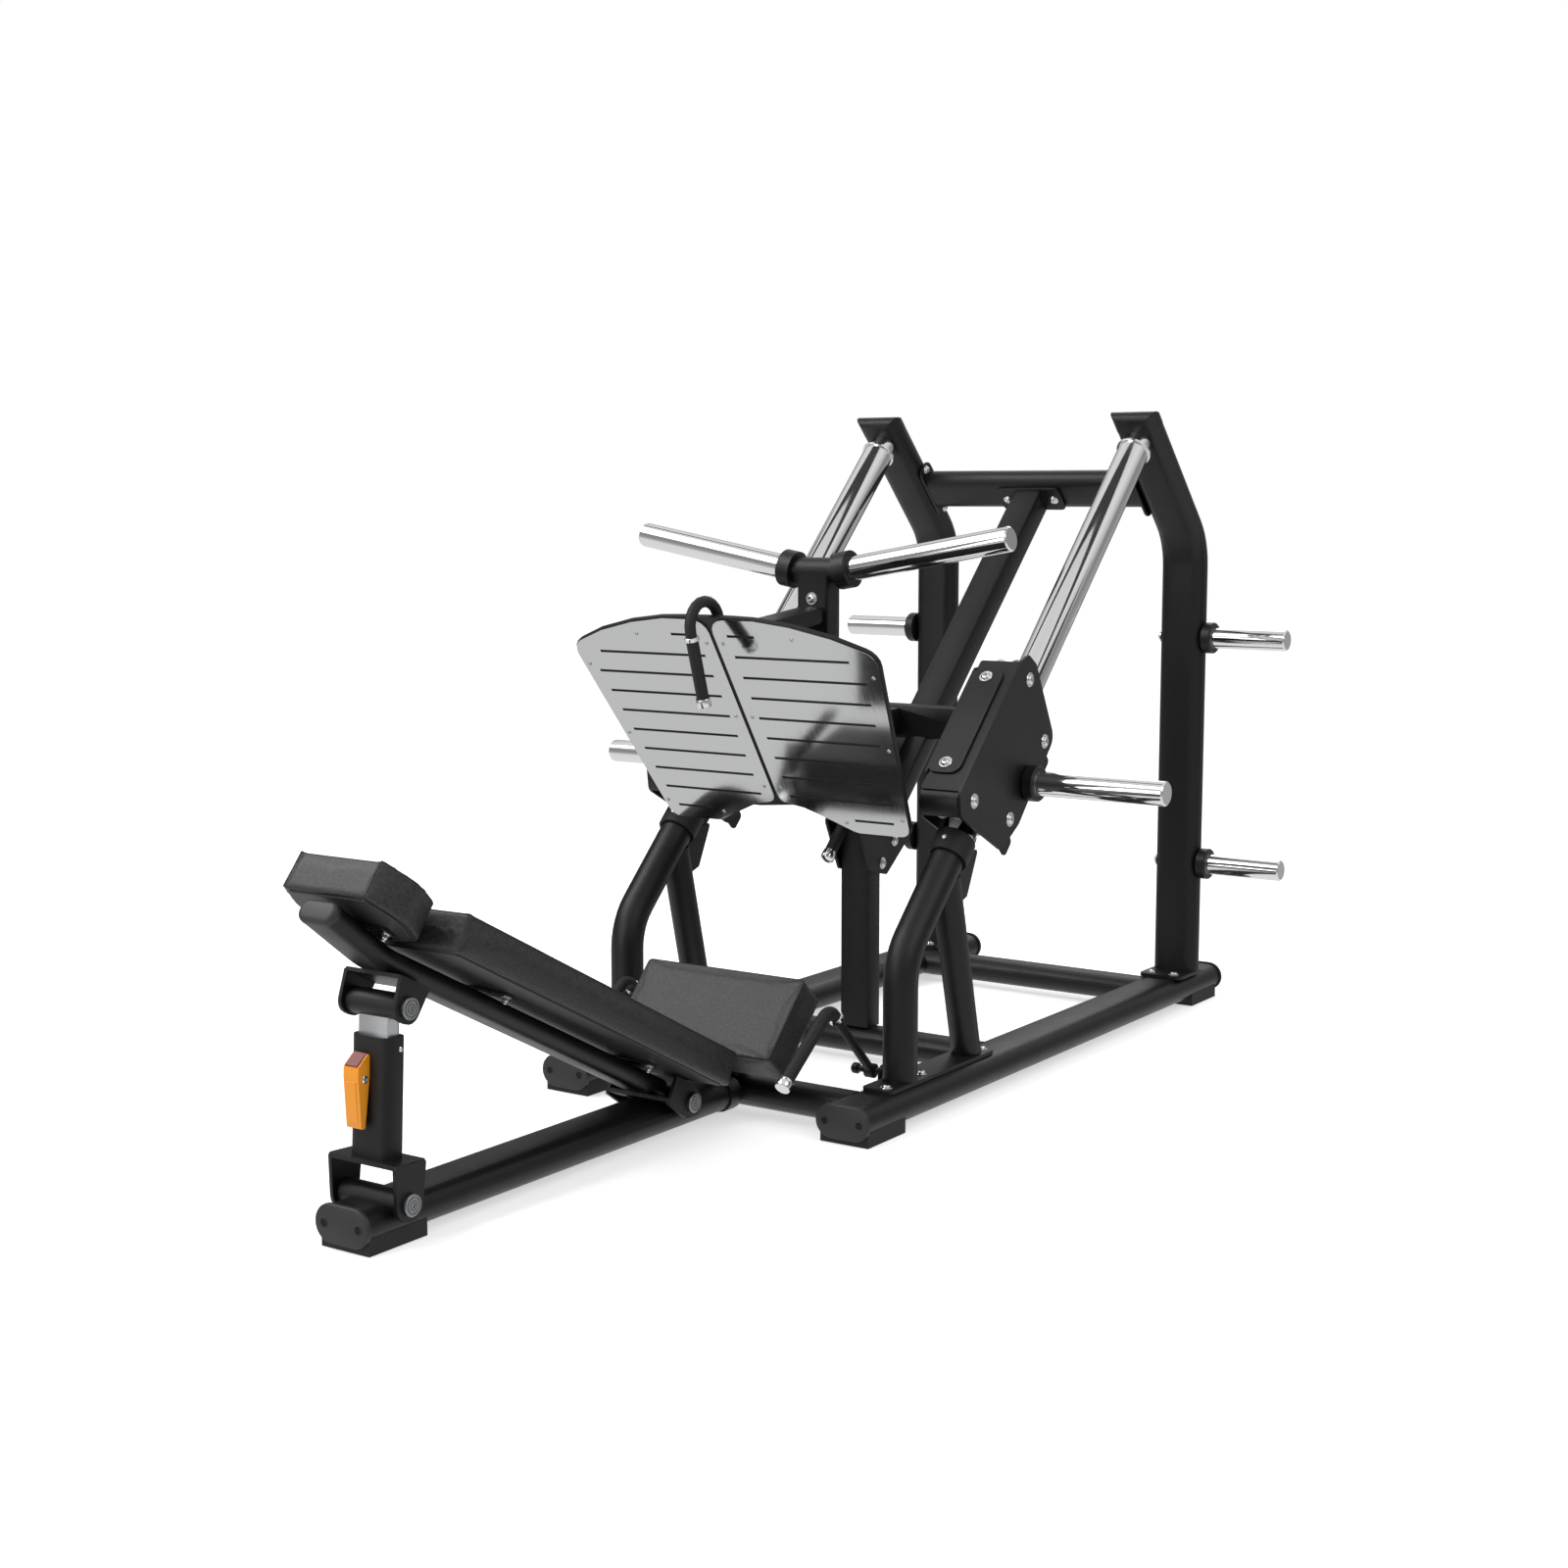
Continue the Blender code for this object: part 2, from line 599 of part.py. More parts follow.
def spine():
    """The rising strut between the upper cross tube and the centre post."""
    width, depth = STRUT_SECTION
    top = slope(UPRIGHT_S - UPPER_CROSS[1] / 2 - 0.0065, STRUT_N)
    rear_of_post = MIDDLE_CROSS_Y + POST_SECTION[1] / 2 + FIT
    drop = (top.y - rear_of_post)
    low = Vector((0, rear_of_post, top.z - drop * math.tan(RAIL_PITCH)))
    strut = build("centre_strut", sweep([low, top], X, rounded(width, depth, 0.006, 2),
                                        rounded(width - 2 * WALL, depth - 2 * WALL, 0.003, 2), (Y, None)), "paint")
    plate = filleted(((-0.082, -0.034, 0.012), (0.082, -0.034, 0.012), (0.082, 0.034, 0.012), (-0.082, 0.034, 0.012)))
    flange_s = UPRIGHT_S - UPPER_CROSS[1] / 2 - FIT
    flange = slab(plate, lambda point: slope(0, STRUT_N + point.y, point.x), flange_s - 0.0065, flange_s, UP_SLOPE)
    weld(strut, flange, "top_flange")
    cut(strut, rod(slope(flange_s - 0.03, STRUT_N), slope(flange_s + 0.01, STRUT_N), 0.010, 12), "flange_hole")

    width, depth = POST_SECTION
    foot_point = Vector((0, MIDDLE_CROSS_Y, BEAM_TOP))
    post = build("centre_post", sweep([foot_point, Vector((0, MIDDLE_CROSS_Y, 0.500))], X,
                                      rounded(width, depth, 0.006, 2),
                                      rounded(width - 2 * WALL, depth - 2 * WALL, 0.003, 2)), "paint")
    cheek = filleted(((0.186, 0.520, 0.012), (0.236, 0.412, 0.010), (0.300, 0.398, 0.006), (0.392, 0.468, 0.006),
                      (0.292, 0.572, 0.010), (0.215, 0.572, 0.020)))
    for label, side in SIDES:
        inner = STRUT_SECTION[0] / 2 + FIT
        weld(post, side_slab(cheek, side * inner, side * (inner + 0.007)), f"{label}_cheek")
    hub = Vector((0, *STOP_PIVOT))
    weld(post, rod(hub - X * 0.042, hub + X * 0.042, 0.006, 16), "stop_pin")


def storage_horns():
    """Plate-storage horns on the uprights' outer sides."""
    for height, z in zip(("upper", "lower"), STORAGE_Z):
        for label, side in SIDES:
            start = Vector((side * (OUTER_X + FIT), UPRIGHT_Y, z))
            length = STORAGE_TIP - OUTER_X
            profile = ((0, 0.030), (0.003, 0.036), (0.022, 0.036), (0.025, 0.033), (0.025, STORAGE_RADIUS),
                       (length - 0.003, STORAGE_RADIUS), (length, STORAGE_RADIUS - 0.003))
            build(f"{label}_{height}_storage_horn", turned(profile, start, X * side, 28), "chrome")


# Sled -----------------------------------------------------------------------------
def sled_frame(axis):
    """Crossbar, mast and the arms that hold the foot plate, welded into one frame."""
    y, z = (0.360, 0.412), (0.686, 0.756)
    middle = Vector((0, (y[0] + y[1]) / 2, (z[0] + z[1]) / 2))
    reach = HOUSING_X[0] - FIT
    bar = rounded(y[1] - y[0], z[1] - z[0], 0.006, 2)
    bore = rounded(y[1] - y[0] - 2 * WALL, z[1] - z[0] - 2 * WALL, 0.003, 2)
    frame = build("sled_frame", sweep([middle - X * reach, middle + X * reach], Y, bar, bore), "paint", axis)
    mast_y = TOP_HORN_Y
    mast_foot = Vector((0, mast_y, z[0]))
    weld(frame, sweep([mast_foot, Vector((0, mast_y, TOP_HORN_Z))], X, rounded(0.074, 0.050, 0.006, 2)), "mast")
    link = [Vector((0, mast_y - 0.01, middle.z)), Vector((0, y[0] + 0.002, middle.z))]
    weld(frame, sweep(link, X, rounded(0.070, 0.060, 0.006, 2)), "mast_link")
    ends = [Vector((-TOP_HORN_X, mast_y, TOP_HORN_Z)), Vector((TOP_HORN_X, mast_y, TOP_HORN_Z))]
    weld(frame, rod(*ends, 0.026, 28), "horn_tube")
    for label, side in SIDES:
        start = ends[1 if side > 0 else 0]
        tilt = Vector((side * math.cos(TOP_HORN_TILT), 0, math.sin(TOP_HORN_TILT)))
        weld(frame, rod(start - tilt * 0.004, start + tilt * 0.026, 0.038, 28), f"{label}_collar")
        arm = [slope(0.575, 0.214, side * 0.076), slope(0.772, 0.214, side * 0.076)]
        weld(frame, sweep(arm, X, rounded(0.050, 0.040, 0.005, 2)), f"{label}_arm")
        low = slope(0.585, 0.212, side * 0.076)
        plate_back = tread(side * 0.076, 0.372, TREAD_THICK + BACKING_THICK + 2 * FIT)
        weld(frame, sweep([low, plate_back], X, rounded(0.048, 0.036, 0.005, 2), None,
                          (None, tread(0, 0, 1) - tread(0, 0, 0))), f"{label}_plate_arm")
    neck = [Vector((0, mast_y, 0.962)), tread(0, -0.022, TREAD_THICK + BACKING_THICK + 2 * FIT)]
    weld(frame, sweep(neck, X, rounded(0.058, 0.036, 0.008, 2), None,
                      (None, tread(0, 0, 1) - tread(0, 0, 0))), "plate_neck")
    cut(frame, block((-0.0165, -0.300, 0.890), (0.0165, -0.192, 0.985)), "hook_fork")
    hub = Vector((0, *HOOK_PIVOT))
    weld(frame, rod(hub - X * 0.0205, hub + X * 0.0205, 0.005, 12), "hook_pin")


def top_horn(label, side, axis):
    """A tilted horn on the mast."""
    tilt = Vector((side * math.cos(TOP_HORN_TILT), 0, math.sin(TOP_HORN_TILT)))
    start = Vector((side * TOP_HORN_X, TOP_HORN_Y, TOP_HORN_Z)) + tilt * (0.026 + FIT)
    length = TOP_HORN_LENGTH - 0.026
    profile = ((0, HORN_RADIUS), (length - 0.003, HORN_RADIUS), (length, HORN_RADIUS - 0.003))
    build(f"{label}_top_horn", turned(profile, start, tilt, 28), "chrome", axis)


def housing(label, side, axis):
    """The two bent sheets around a rail, with the roller axles, and the sled horn."""
    inner_x, outer_x = (side * value for value in HOUSING_X)
    sheet = side * HOUSING_SHEET
    plate = filleted(((0.795, HOUSING_FRONT_N, 0.010), (0.829, 0.418, 0.012), (0.837, 0.380, 0.010),
                      (0.783, 0.210, 0.030), (0.562, 0.200, 0.020), (0.478, 0.220, 0.020),
                      (0.424, 0.394, 0.020), (0.455, HOUSING_FRONT_N, 0.010)))
    outer = build(f"{label}_housing_outer", slope_slab(plate, outer_x - sheet, outer_x), "paint", axis)
    flange_x = (HOUSING_X[0] + HOUSING_SHEET + FIT, HOUSING_X[1] - 0.001)
    front = rounded(0.335, flange_x[1] - flange_x[0], 0.006)
    mid_x = side * (flange_x[0] + flange_x[1]) / 2
    flange_n = HOUSING_FRONT_N - 0.0002
    weld(outer, slab(front, lambda point: slope(0.6275 + point.x, 0, mid_x + point.y),
                     flange_n - 0.004, flange_n, OFF_SLOPE), "front_flange")

    inner_plate = filleted(((0.770, HOUSING_FRONT_N + 0.004, 0.004), (0.837, 0.380, 0.020),
                            (0.783, 0.210, 0.030), (0.562, 0.200, 0.020), (0.478, 0.220, 0.020),
                            (0.424, 0.394, 0.020), (0.500, HOUSING_FRONT_N + 0.004, 0.004)))
    inner = build(f"{label}_housing_inner", slope_slab(inner_plate, inner_x, inner_x + sheet), "paint", axis)
    over = rounded(0.270, 0.074, 0.022)
    over_x = inner_x + side * 0.037
    weld(inner, slab(over, lambda point: slope(0.635 + point.x, 0, over_x + point.y),
                     HOUSING_FRONT_N + FIT, HOUSING_FRONT_N + 0.0043, OFF_SLOPE), "front_flange")
    for index, (s, above) in enumerate(ROLLER_PLACES):
        n = RAIL_N + above * ROLLER_OFFSET
        weld(inner, rod(slope(s, n, inner_x + sheet / 2), slope(s, n, outer_x - sheet - side * FIT),
                        AXLE_RADIUS, 16), f"axle_{index + 1}")

    start = Vector((outer_x + side * FIT, SLED_HORN_Y, SLED_HORN_Z))
    length = SLED_HORN_TIP - HOUSING_X[1]
    profile = ((0, 0.030), (0.003, 0.037), (0.024, 0.037), (0.027, 0.034), (0.027, HORN_RADIUS),
               (length - 0.003, HORN_RADIUS), (length, HORN_RADIUS - 0.003))
    build(f"{label}_sled_horn", turned(profile, start, X * side, 28), "chrome", axis)


def roller_centre(s, above, side):
    return slope(s, RAIL_N + above * ROLLER_OFFSET, side * SIDE_X)


def roller(label, side, index, s, above, axis):
    """A grooved roller that runs on the rail, on its own axle."""
    spin = empty(f"{label}_roller_{index}_axis", roller_centre(s, above, side), axis)
    centre = roller_centre(s, above, side)
    profile = []
    for step in range(-2, 3):
        across = ROLLER_HALF * step / 2
        groove = ROLLER_OFFSET - ROLLER_GAP - math.sqrt(RAIL_RADIUS ** 2 - across ** 2)
        profile.append((across, groove))
    profile += [(ROLLER_HALF, AXLE_RADIUS + 0.0008), (-ROLLER_HALF, AXLE_RADIUS + 0.0008)]
    build(f"{label}_roller_{index}", turned(profile, centre, X, 20, closed=True), "nylon", spin)


TREAD_HALF = ((0.0045, -0.0780, 0.032), (0.105, -0.0785, 0), (0.185, -0.0665, 0), (0.270, -0.0435, 0),
              (0.3590, -0.0060, 0.034), (0.2890, 0.4350, 0.026), (0.166, 0.4350, 0.040), (0.115, 0.4075, 0),
              (0.060, 0.3805, 0), (0.0045, 0.3690, 0.022))
BACKING_HALF = ((0, -0.0830, 0), (0.055, -0.0828, 0), (0.107, -0.0808, 0), (0.187, -0.0688, 0),
                (0.272, -0.0458, 0), (0.3615, -0.0075, 0.036), (0.2912, 0.4372, 0.028), (0.1655, 0.4372, 0.042),
                (0.114, 0.4098, 0), (0.059, 0.3828, 0), (0, 0.3728, 0))


def foot_plate(axis):
    """The black backing plate and its two slotted tread halves."""
    half = filleted(BACKING_HALF)
    outline = half + [Vector((-point.x, point.y)) for point in reversed(half) if point.x > 1e-6]
    behind = tread(0, 0, 1) - tread(0, 0, 0)
    back_face = TREAD_THICK + FIT + BACKING_THICK
    build("foot_plate_backing", slab(outline, lambda point: tread(point.x, point.y), TREAD_THICK + FIT,
                                     back_face, behind), "paint", axis)
    for label, side in SIDES:
        shape = [Vector((side * point.x, point.y)) for point in filleted(TREAD_HALF)]
        sheet = build(f"{label}_tread", slab(shape, lambda point: tread(point.x, point.y), 0, TREAD_THICK,
                                             behind), "steel", axis)
        slots = bmesh.new()
        for index in range(SLOT_COUNT):
            down = SLOT_FIRST + index * SLOT_PITCH
            outer = 0.3246 - 0.142 * max(down, 0)
            inner = 0.035
            if index == 0:
                outer = 0.098
            elif index == 1:
                outer = 0.294
            elif index == SLOT_COUNT - 1:
                outer, inner = 0.262, 0.172
            corners = [(inner, -1), (outer, -1), (outer, 1), (inner, 1)]
            rings = [[slots.verts.new(tread(side * a, down + b * SLOT_HEIGHT / 2, depth)) for a, b in corners]
                     for depth in (-0.002, TREAD_THICK + 0.002)]
            bridge(slots, *rings)
            slots.faces.new(rings[0])
            slots.faces.new(rings[1])
        cut(sheet, slots, "slots")


def hook_handle(axis):
    """The hooked pull handle over the foot plate's top edge."""
    pivot = empty("hook_handle_axis", (0, *HOOK_PIVOT), axis)
    hub = Vector((0, *HOOK_PIVOT))
    tip = Vector((0, -0.2990, 0.8020))
    ring = Vector((0, -0.3385, 0.9320))
    rise = (ring - tip).normalized()
    shoulder = ring + rise * 0.0725
    rear_top = Vector((0, -0.2505, shoulder.z))
    rear_low = rear_top - Z * 0.0460
    arc = bent([ring + rise * 0.004, shoulder, rear_top, rear_low], 0.0455)
    drop = bent([rear_low, Vector((0, rear_top.y, hub.z + 0.004)), hub], 0.012, 4)[1:]
    grip = build("hook_handle", handle((
        ([tip, tip + rise * 0.018], HANDLE_RADIUS + 0.0003), ([tip + rise * 0.018, ring - rise * 0.004],
                                                              HANDLE_RADIUS - 0.0009),
        ([ring - rise * 0.004, ring + rise * 0.004], HANDLE_RADIUS + 0.0003), (arc + drop, HOOK_RADIUS)), X),
        "rubber", pivot)
    weld(grip, rod(hub - X * 0.0155, hub + X * 0.0155, 0.0140, 20), "hub")
    cut(grip, rod(hub - X * 0.03, hub + X * 0.03, 0.0058, 16), "bore")


def sled():
    axis = empty("sled_slide_axis", slope(0.64, RAIL_N), DATUM)
    sled_frame(axis)
    for label, side in SIDES:
        top_horn(label, side, axis)
        housing(label, side, axis)
        for index, (s, above) in enumerate(ROLLER_PLACES):
            roller(label, side, index + 1, s, above, axis)
    foot_plate(axis)
    hook_handle(axis)


# Backrest and its strut -----------------------------------------------------------
def pin(pivot, ears, head_radius=0.018):
    """A pivot pin with a flat disc head outside each ear."""
    outer = ears[1] + 0.0055
    inner = ears[1] + FIT
    profile = ((-outer, head_radius - 0.001), (-outer + 0.001, head_radius), (-inner, head_radius),
               (-inner, PIN_RADIUS), (inner, PIN_RADIUS), (inner, head_radius), (outer - 0.001, head_radius),
               (outer, head_radius - 0.001))
    return turned(profile, Vector((0, *pivot)), X, 20)


def pin_bore(pivot, reach=0.085):
    middle = Vector((0, *pivot))
    return rod(middle - X * reach, middle + X * reach, PIN_RADIUS + FIT, 20)


def backrest():
    """The bent support tube with its hinge bracket and strut clevis, and both pads."""
    axis = empty("backrest_hinge_axis", (0, *BACK_PIVOT), DATUM)
    width, height = BACK_TUBE
    path = bent([back(0.053, 0), back(HEAD_BEND_T, 0), head(HEAD_TUBE, 0)], 0.25, 4)
    tube = build("backrest_tube", sweep(path, X, oval(width, height), oval(width, height, WALL)), "paint", axis)

    web = [Vector((point.x, 0.0785 + point.y)) for point in rounded(2 * LOWER_EAR_X[1], 0.027, 0.008)]
    weld(tube, slab(web, lambda point: back(point.y, 0, point.x), -0.0270, -0.0195,
                    back(0, 1) - back(0, 0)), "hinge_web")
    for label, side in SIDES:
        outline = filleted(((0.082, 0.025, 0), (0.018, 0.025, 0.012), (-0.010, 0.012, 0.010),
                            (-0.020, -0.022, 0.012), (0.018, -0.040, 0.016), (0.084, -0.031, 0.004)))
        shape = slab(outline, lambda point: back(point.x, point.y), side * LOWER_EAR_X[0],
                     side * LOWER_EAR_X[1], X)
        weld(tube, shape, f"{label}_hinge_ear")

    clevis_t, clevis_n = 0.8210, -0.0635
    top = [Vector((point.x, clevis_t + point.y)) for point in rounded(2 * UPPER_EAR_X[1], 0.076, 0.008)]
    weld(tube, slab(top, lambda point: back(point.y, 0, point.x), -0.0260, -0.0192,
                    back(0, 1) - back(0, 0)), "clevis_web")
    for label, side in SIDES:
        outline = filleted(((clevis_t - 0.036, -0.0225, 0), (clevis_t - 0.026, clevis_n - 0.026, 0.024),
                            (clevis_t + 0.026, clevis_n - 0.026, 0.024), (clevis_t + 0.036, -0.0225, 0)))
        shape = slab(outline, lambda point: back(point.x, point.y), side * UPPER_EAR_X[0],
                     side * UPPER_EAR_X[1], X)
        weld(tube, shape, f"{label}_clevis_ear")
    for label, pivot in (("hinge", BACK_PIVOT), ("clevis", CLEVIS_PIVOT)):
        cut(tube, pin_bore(pivot), f"{label}_bore")

    build("backrest_hinge_pin", pin(BACK_PIVOT, LOWER_EAR_X), "steel", axis)
    build("strut_upper_pin", pin(CLEVIS_PIVOT, UPPER_EAR_X), "steel", axis)

    pad_width, pad_low, pad_high = BACK_PAD
    outline = rounded(pad_width, pad_high - pad_low, 0.008, 2)
    middle = (pad_low + pad_high) / 2
    build("back_pad", slab(outline, lambda point: back(middle + point.y, 0, point.x), 0.032, 0.032 + PAD_THICK,
                           back(0, 1) - back(0, 0)), "vinyl", axis)
    half = filleted(((0.0890, 0.0, 0.008), (0.1180, 0.070, 0.060), (0.0960, 0.142, 0.045), (0, 0.158, 0)))
    outline = half + [Vector((-point.x, point.y)) for point in reversed(half) if point.x > 1e-6]
    build("head_pad", slab(outline, lambda point: head(HEAD_TUBE + 0.013 - point.y, 0, point.x), 0.030,
                           0.030 + PAD_THICK, head(0, 1) - head(0, 0)), "vinyl", axis)


def strut():
    """The telescopic strut under the backrest, with its lower clevis and latch lever."""
    axis = empty("strut_hinge_axis", (0, *STRUT_PIVOT), DATUM)
    up = on_strut(1) - on_strut(0)
    length = (Vector(CLEVIS_PIVOT) - Vector(STRUT_PIVOT)).length
    web_low, web_high = 0.0610, 0.0690

    def square(width, depth, radius, low, high):
        shape = rounded(width, depth, radius, 2)
        return slab(shape, lambda point: on_strut(0, point.y, point.x), low, high, up)

    outer = build("strut_outer", sweep([on_strut(web_high - 0.001), on_strut(0.268)], X,
                                       rounded(*SLEEVE_SECTION, 0.018),
                                       rounded(INNER_SECTION[0] + 0.001, INNER_SECTION[1] + 0.001, 0.003)),
                  "paint", axis)
    weld(outer, square(2 * LOWER_EAR_X[1], 0.072, 0.006, web_low, web_high), "clevis_web")
    ear = filleted(((-0.036, web_high, 0.006), (-0.028, -0.028, 0.026), (0.028, -0.028, 0.026),
                    (0.036, web_high, 0.006)))
    for label, side in SIDES:
        shape = slab(ear, lambda point: on_strut(point.y, point.x), side * LOWER_EAR_X[0],
                     side * LOWER_EAR_X[1], X)
        weld(outer, shape, f"{label}_ear")
    cut(outer, square(INNER_SECTION[0] + 0.001, INNER_SECTION[1] + 0.001, 0.003, web_low - 0.01, 0.12),
        "slide_hole")
    weld(outer, pin(STRUT_PIVOT, LOWER_EAR_X), "lower_pin")

    slide = empty("strut_slide_axis", (0, *CLEVIS_PIVOT), axis)
    inner = build("strut_inner", square(*INNER_SECTION, 0.003, 0.055, length - BUSH_RADIUS + 0.004),
                  "steel", slide)
    start, end = pivot_bush(CLEVIS_PIVOT, UPPER_EAR_X)
    weld(inner, rod(start, end, BUSH_RADIUS), "bush")
    cut(inner, rod(start - X * 0.02, end + X * 0.02, PIN_RADIUS + LINK_PLAY), "bore")

    latch_axis = empty("latch_axis", on_strut(0.199, -0.0345), axis)
    face = SLEEVE_SECTION[1] / 2 + FIT
    outline = filleted(((0.199, face, 0), (0.238, face, 0.002), (0.240, face + 0.004, 0.002),
                        (0.2203, 0.0496, 0.002), (0.203, 0.0500, 0.010), (0.1183, 0.0407, 0.002),
                        (0.1183, 0.0322, 0.002)), 2)
    build("latch_lever", slab(outline, lambda point: on_strut(point.x, -point.y), -0.0285, 0.0045, X),
          "orange", latch_axis)


# Seat and hand levers -------------------------------------------------------------
def seat():
    """The inclined seat pad and the bracket that stands on the front cross beam."""
    front, rear = Vector((-0.361, 0.148)), Vector((-0.233, 0.283))
    slant = (rear - front).normalized()
    off = Vector((-slant.y, slant.x))
    low_front, low_rear = front - off * 0.074, rear - off * 0.074
    half = SEAT_WIDTH / 2
    build("seat_pad", side_slab([front, rear, low_rear, low_front], -half, half), "vinyl")
    board_front = low_front + slant * 0.012 - off * 0.0006
    board_rear = low_rear - slant * 0.012 - off * 0.0006
    board = [board_front, board_rear, board_rear - off * 0.010, board_front - off * 0.010]
    bracket = build("seat_bracket", side_slab(board, -0.150, 0.150), "paint")
    post = [Vector((0, FRONT_CROSS_Y - 0.005, BEAM_TOP)), Vector((0, FRONT_CROSS_Y - 0.005, 0.166))]
    weld(bracket, sweep(post, X, rounded(0.080, 0.050, 0.008, 2), None, (None, Vector((0, off.x, off.y)))), "post")


def side_lever(label, side):
    """A cranked hand lever beside the seat."""
    x = side * LEVER_X
    pivot = empty(f"{label}_lever_axis", (x, *LEVER_PIVOT), DATUM)
    hub = Vector((x, *LEVER_PIVOT))
    bend = Vector((x, -0.236, 0.232))
    tip = Vector((x, -0.396, 0.111))
    rise = (bend - hub).normalized()
    fall = (tip - bend).normalized()
    ring = hub + rise * 0.183
    path = bent([ring + rise * 0.004, bend, tip - fall * 0.020], 0.026)
    lever = build(f"{label}_side_lever", handle((
        ([hub, ring - rise * 0.004], 0.009), ([ring - rise * 0.004, ring + rise * 0.004], HANDLE_RADIUS + 0.001),
        (path, HANDLE_RADIUS), ([tip - fall * 0.020, tip], HANDLE_RADIUS + 0.0018)), X), "rubber", pivot)
    weld(lever, rod(hub - X * 0.009, hub + X * 0.009, 0.0145, 20), "eye")
    cut(lever, rod(hub - X * 0.03, hub + X * 0.03, 0.0068, 16), "bore")


def stop_lever():
    """The lever between the post's cheeks that swings a stop under the sled."""
    pivot = empty("stop_lever_axis", (0, *STOP_PIVOT), DATUM)
    hub = Vector((0, *STOP_PIVOT))
    tip = Vector((0, 0.130, 0.450))
    rise = (hub - tip).normalized()
    lever = build("stop_lever", handle((
        ([tip, tip + rise * 0.020], HANDLE_RADIUS + 0.0012), ([tip + rise * 0.020, hub], HANDLE_RADIUS)), X),
        "rubber", pivot)
    weld(lever, rod(hub - X * 0.030, hub + X * 0.030, 0.017, 20), "hub")
    cut(lever, rod(hub - X * 0.05, hub + X * 0.05, 0.0068, 16), "bore")


floor_frame()
for name_side, sign in SIDES:
    upright(name_side, sign)
    leg_frame(name_side, sign)
    rail_set(name_side, sign)
    side_lever(name_side, sign)
upper_cross()
spine()
storage_horns()
sled()
backrest()
strut()
seat()
stop_lever()
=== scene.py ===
"""The looks of a plate-loaded leg press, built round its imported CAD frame.

The CAD nodes keep their shapes and get their finishes here.  The pads are foam in a sewn
cover, swollen by a cloth simulation.  Caps, boards, bolts, chrome rings and the other
small hardware are added as pieces that ride on the CAD bodies.

Metres, +Z up.  Places are given from the datum, a point on the floor in the middle of the
machine's width, as in the CAD source; at() and its sisters turn them into the frame's axes.
"""

import json
import math

import bmesh
import bpy
from mathutils import Matrix, Vector
from mathutils.bvhtree import BVHTree


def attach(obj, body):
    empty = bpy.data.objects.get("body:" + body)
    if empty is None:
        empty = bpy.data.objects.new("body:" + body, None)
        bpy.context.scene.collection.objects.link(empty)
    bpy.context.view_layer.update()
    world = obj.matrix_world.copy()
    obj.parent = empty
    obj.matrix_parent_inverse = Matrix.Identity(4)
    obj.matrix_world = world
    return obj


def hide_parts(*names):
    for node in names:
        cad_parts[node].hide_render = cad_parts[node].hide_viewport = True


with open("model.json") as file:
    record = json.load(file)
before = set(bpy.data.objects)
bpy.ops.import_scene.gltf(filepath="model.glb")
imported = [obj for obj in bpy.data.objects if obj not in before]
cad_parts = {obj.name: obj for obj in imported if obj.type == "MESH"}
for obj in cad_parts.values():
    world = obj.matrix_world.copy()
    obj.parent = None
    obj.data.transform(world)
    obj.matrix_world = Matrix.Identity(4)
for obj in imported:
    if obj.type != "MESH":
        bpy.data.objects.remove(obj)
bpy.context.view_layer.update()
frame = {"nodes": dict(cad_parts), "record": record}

# Driving dimensions, as in the CAD source -------------------------------------------
# S and N measure along the rails' slope and square to it, T along the backrest tube.
# Pairs are (y, z) for a place and (width, height) for a tube.
DATUM_Y = 0.0248
SIDE_X = 0.333
BEAM = (0.112, 0.060)
BEAM_Z = 0.0435
BEAM_TOP = 0.0735
OVAL = (0.108, 0.058)
INNER_X = SIDE_X - OVAL[0] / 2
CENTRE_FRONT_Y, SIDE_FRONT_Y, SIDE_REAR_Y = -1.278, -0.320, 1.276
UPRIGHT_Y = 1.149
UPRIGHT_TOP_Z = 1.385
UPRIGHT_NOSE, UPRIGHT_HEEL = 0.017, 0.020
CAP_PROUD, CAP_DEPTH = 0.0004, 0.046
UPRIGHT_S = 1.5867
RAIL_PITCH = math.radians(45)
RAIL_N = 0.309
RAIL_RADIUS = 0.035
STORAGE_Z = (0.872, 0.340)
STORAGE_RADIUS = 0.024
SLED_HORN_Y, SLED_HORN_Z = 0.294, 0.6195
SLED_HORN_RADIUS = 0.025
ROLLER_PLACES = ((0.795, 1), (0.750, -1), (0.479, 1), (0.545, -1))
ROLLER_OFFSET = 0.0705
HOUSING_X = (0.2863, 0.3830)
HOUSING_FRONT_N = 0.434
TOP_HORN_Y = 0.097
PLATE_TOP = (-0.2514, 0.9005)
PLATE_LEAN = math.radians(33.1)
BACK_START = (-0.430, 0.0705)
BACK_PIVOT = (-0.445, 0.0700)
STRUT_PIVOT = (-1.2055, 0.0715)
CLEVIS_PIVOT = (-1.189, 0.389)
UPPER_EAR_X, LOWER_EAR_X = 0.0633, 0.0750
BACK_SLOPE = math.radians(27.2)
HEAD_SLOPE = math.radians(38)
HEAD_BEND_T = 0.866
HEAD_TUBE = 0.1435
BACK_PAD = (0.300, 0.012, 0.842)
PAD_LOW, PAD_THICK = 0.032, 0.069
HEAD_LOW = 0.030
BOARD = 0.011
SEAT_FRONT, SEAT_REAR = Vector((-0.361, 0.148)), Vector((-0.233, 0.283))
SEAT_THICK, SEAT_HALF = 0.074, 0.190
LEVER_X = 0.245
HANDLE_RADIUS = 0.0130
BUSH_RADIUS = 0.022
BACK_TUBE = (0.080, 0.040)

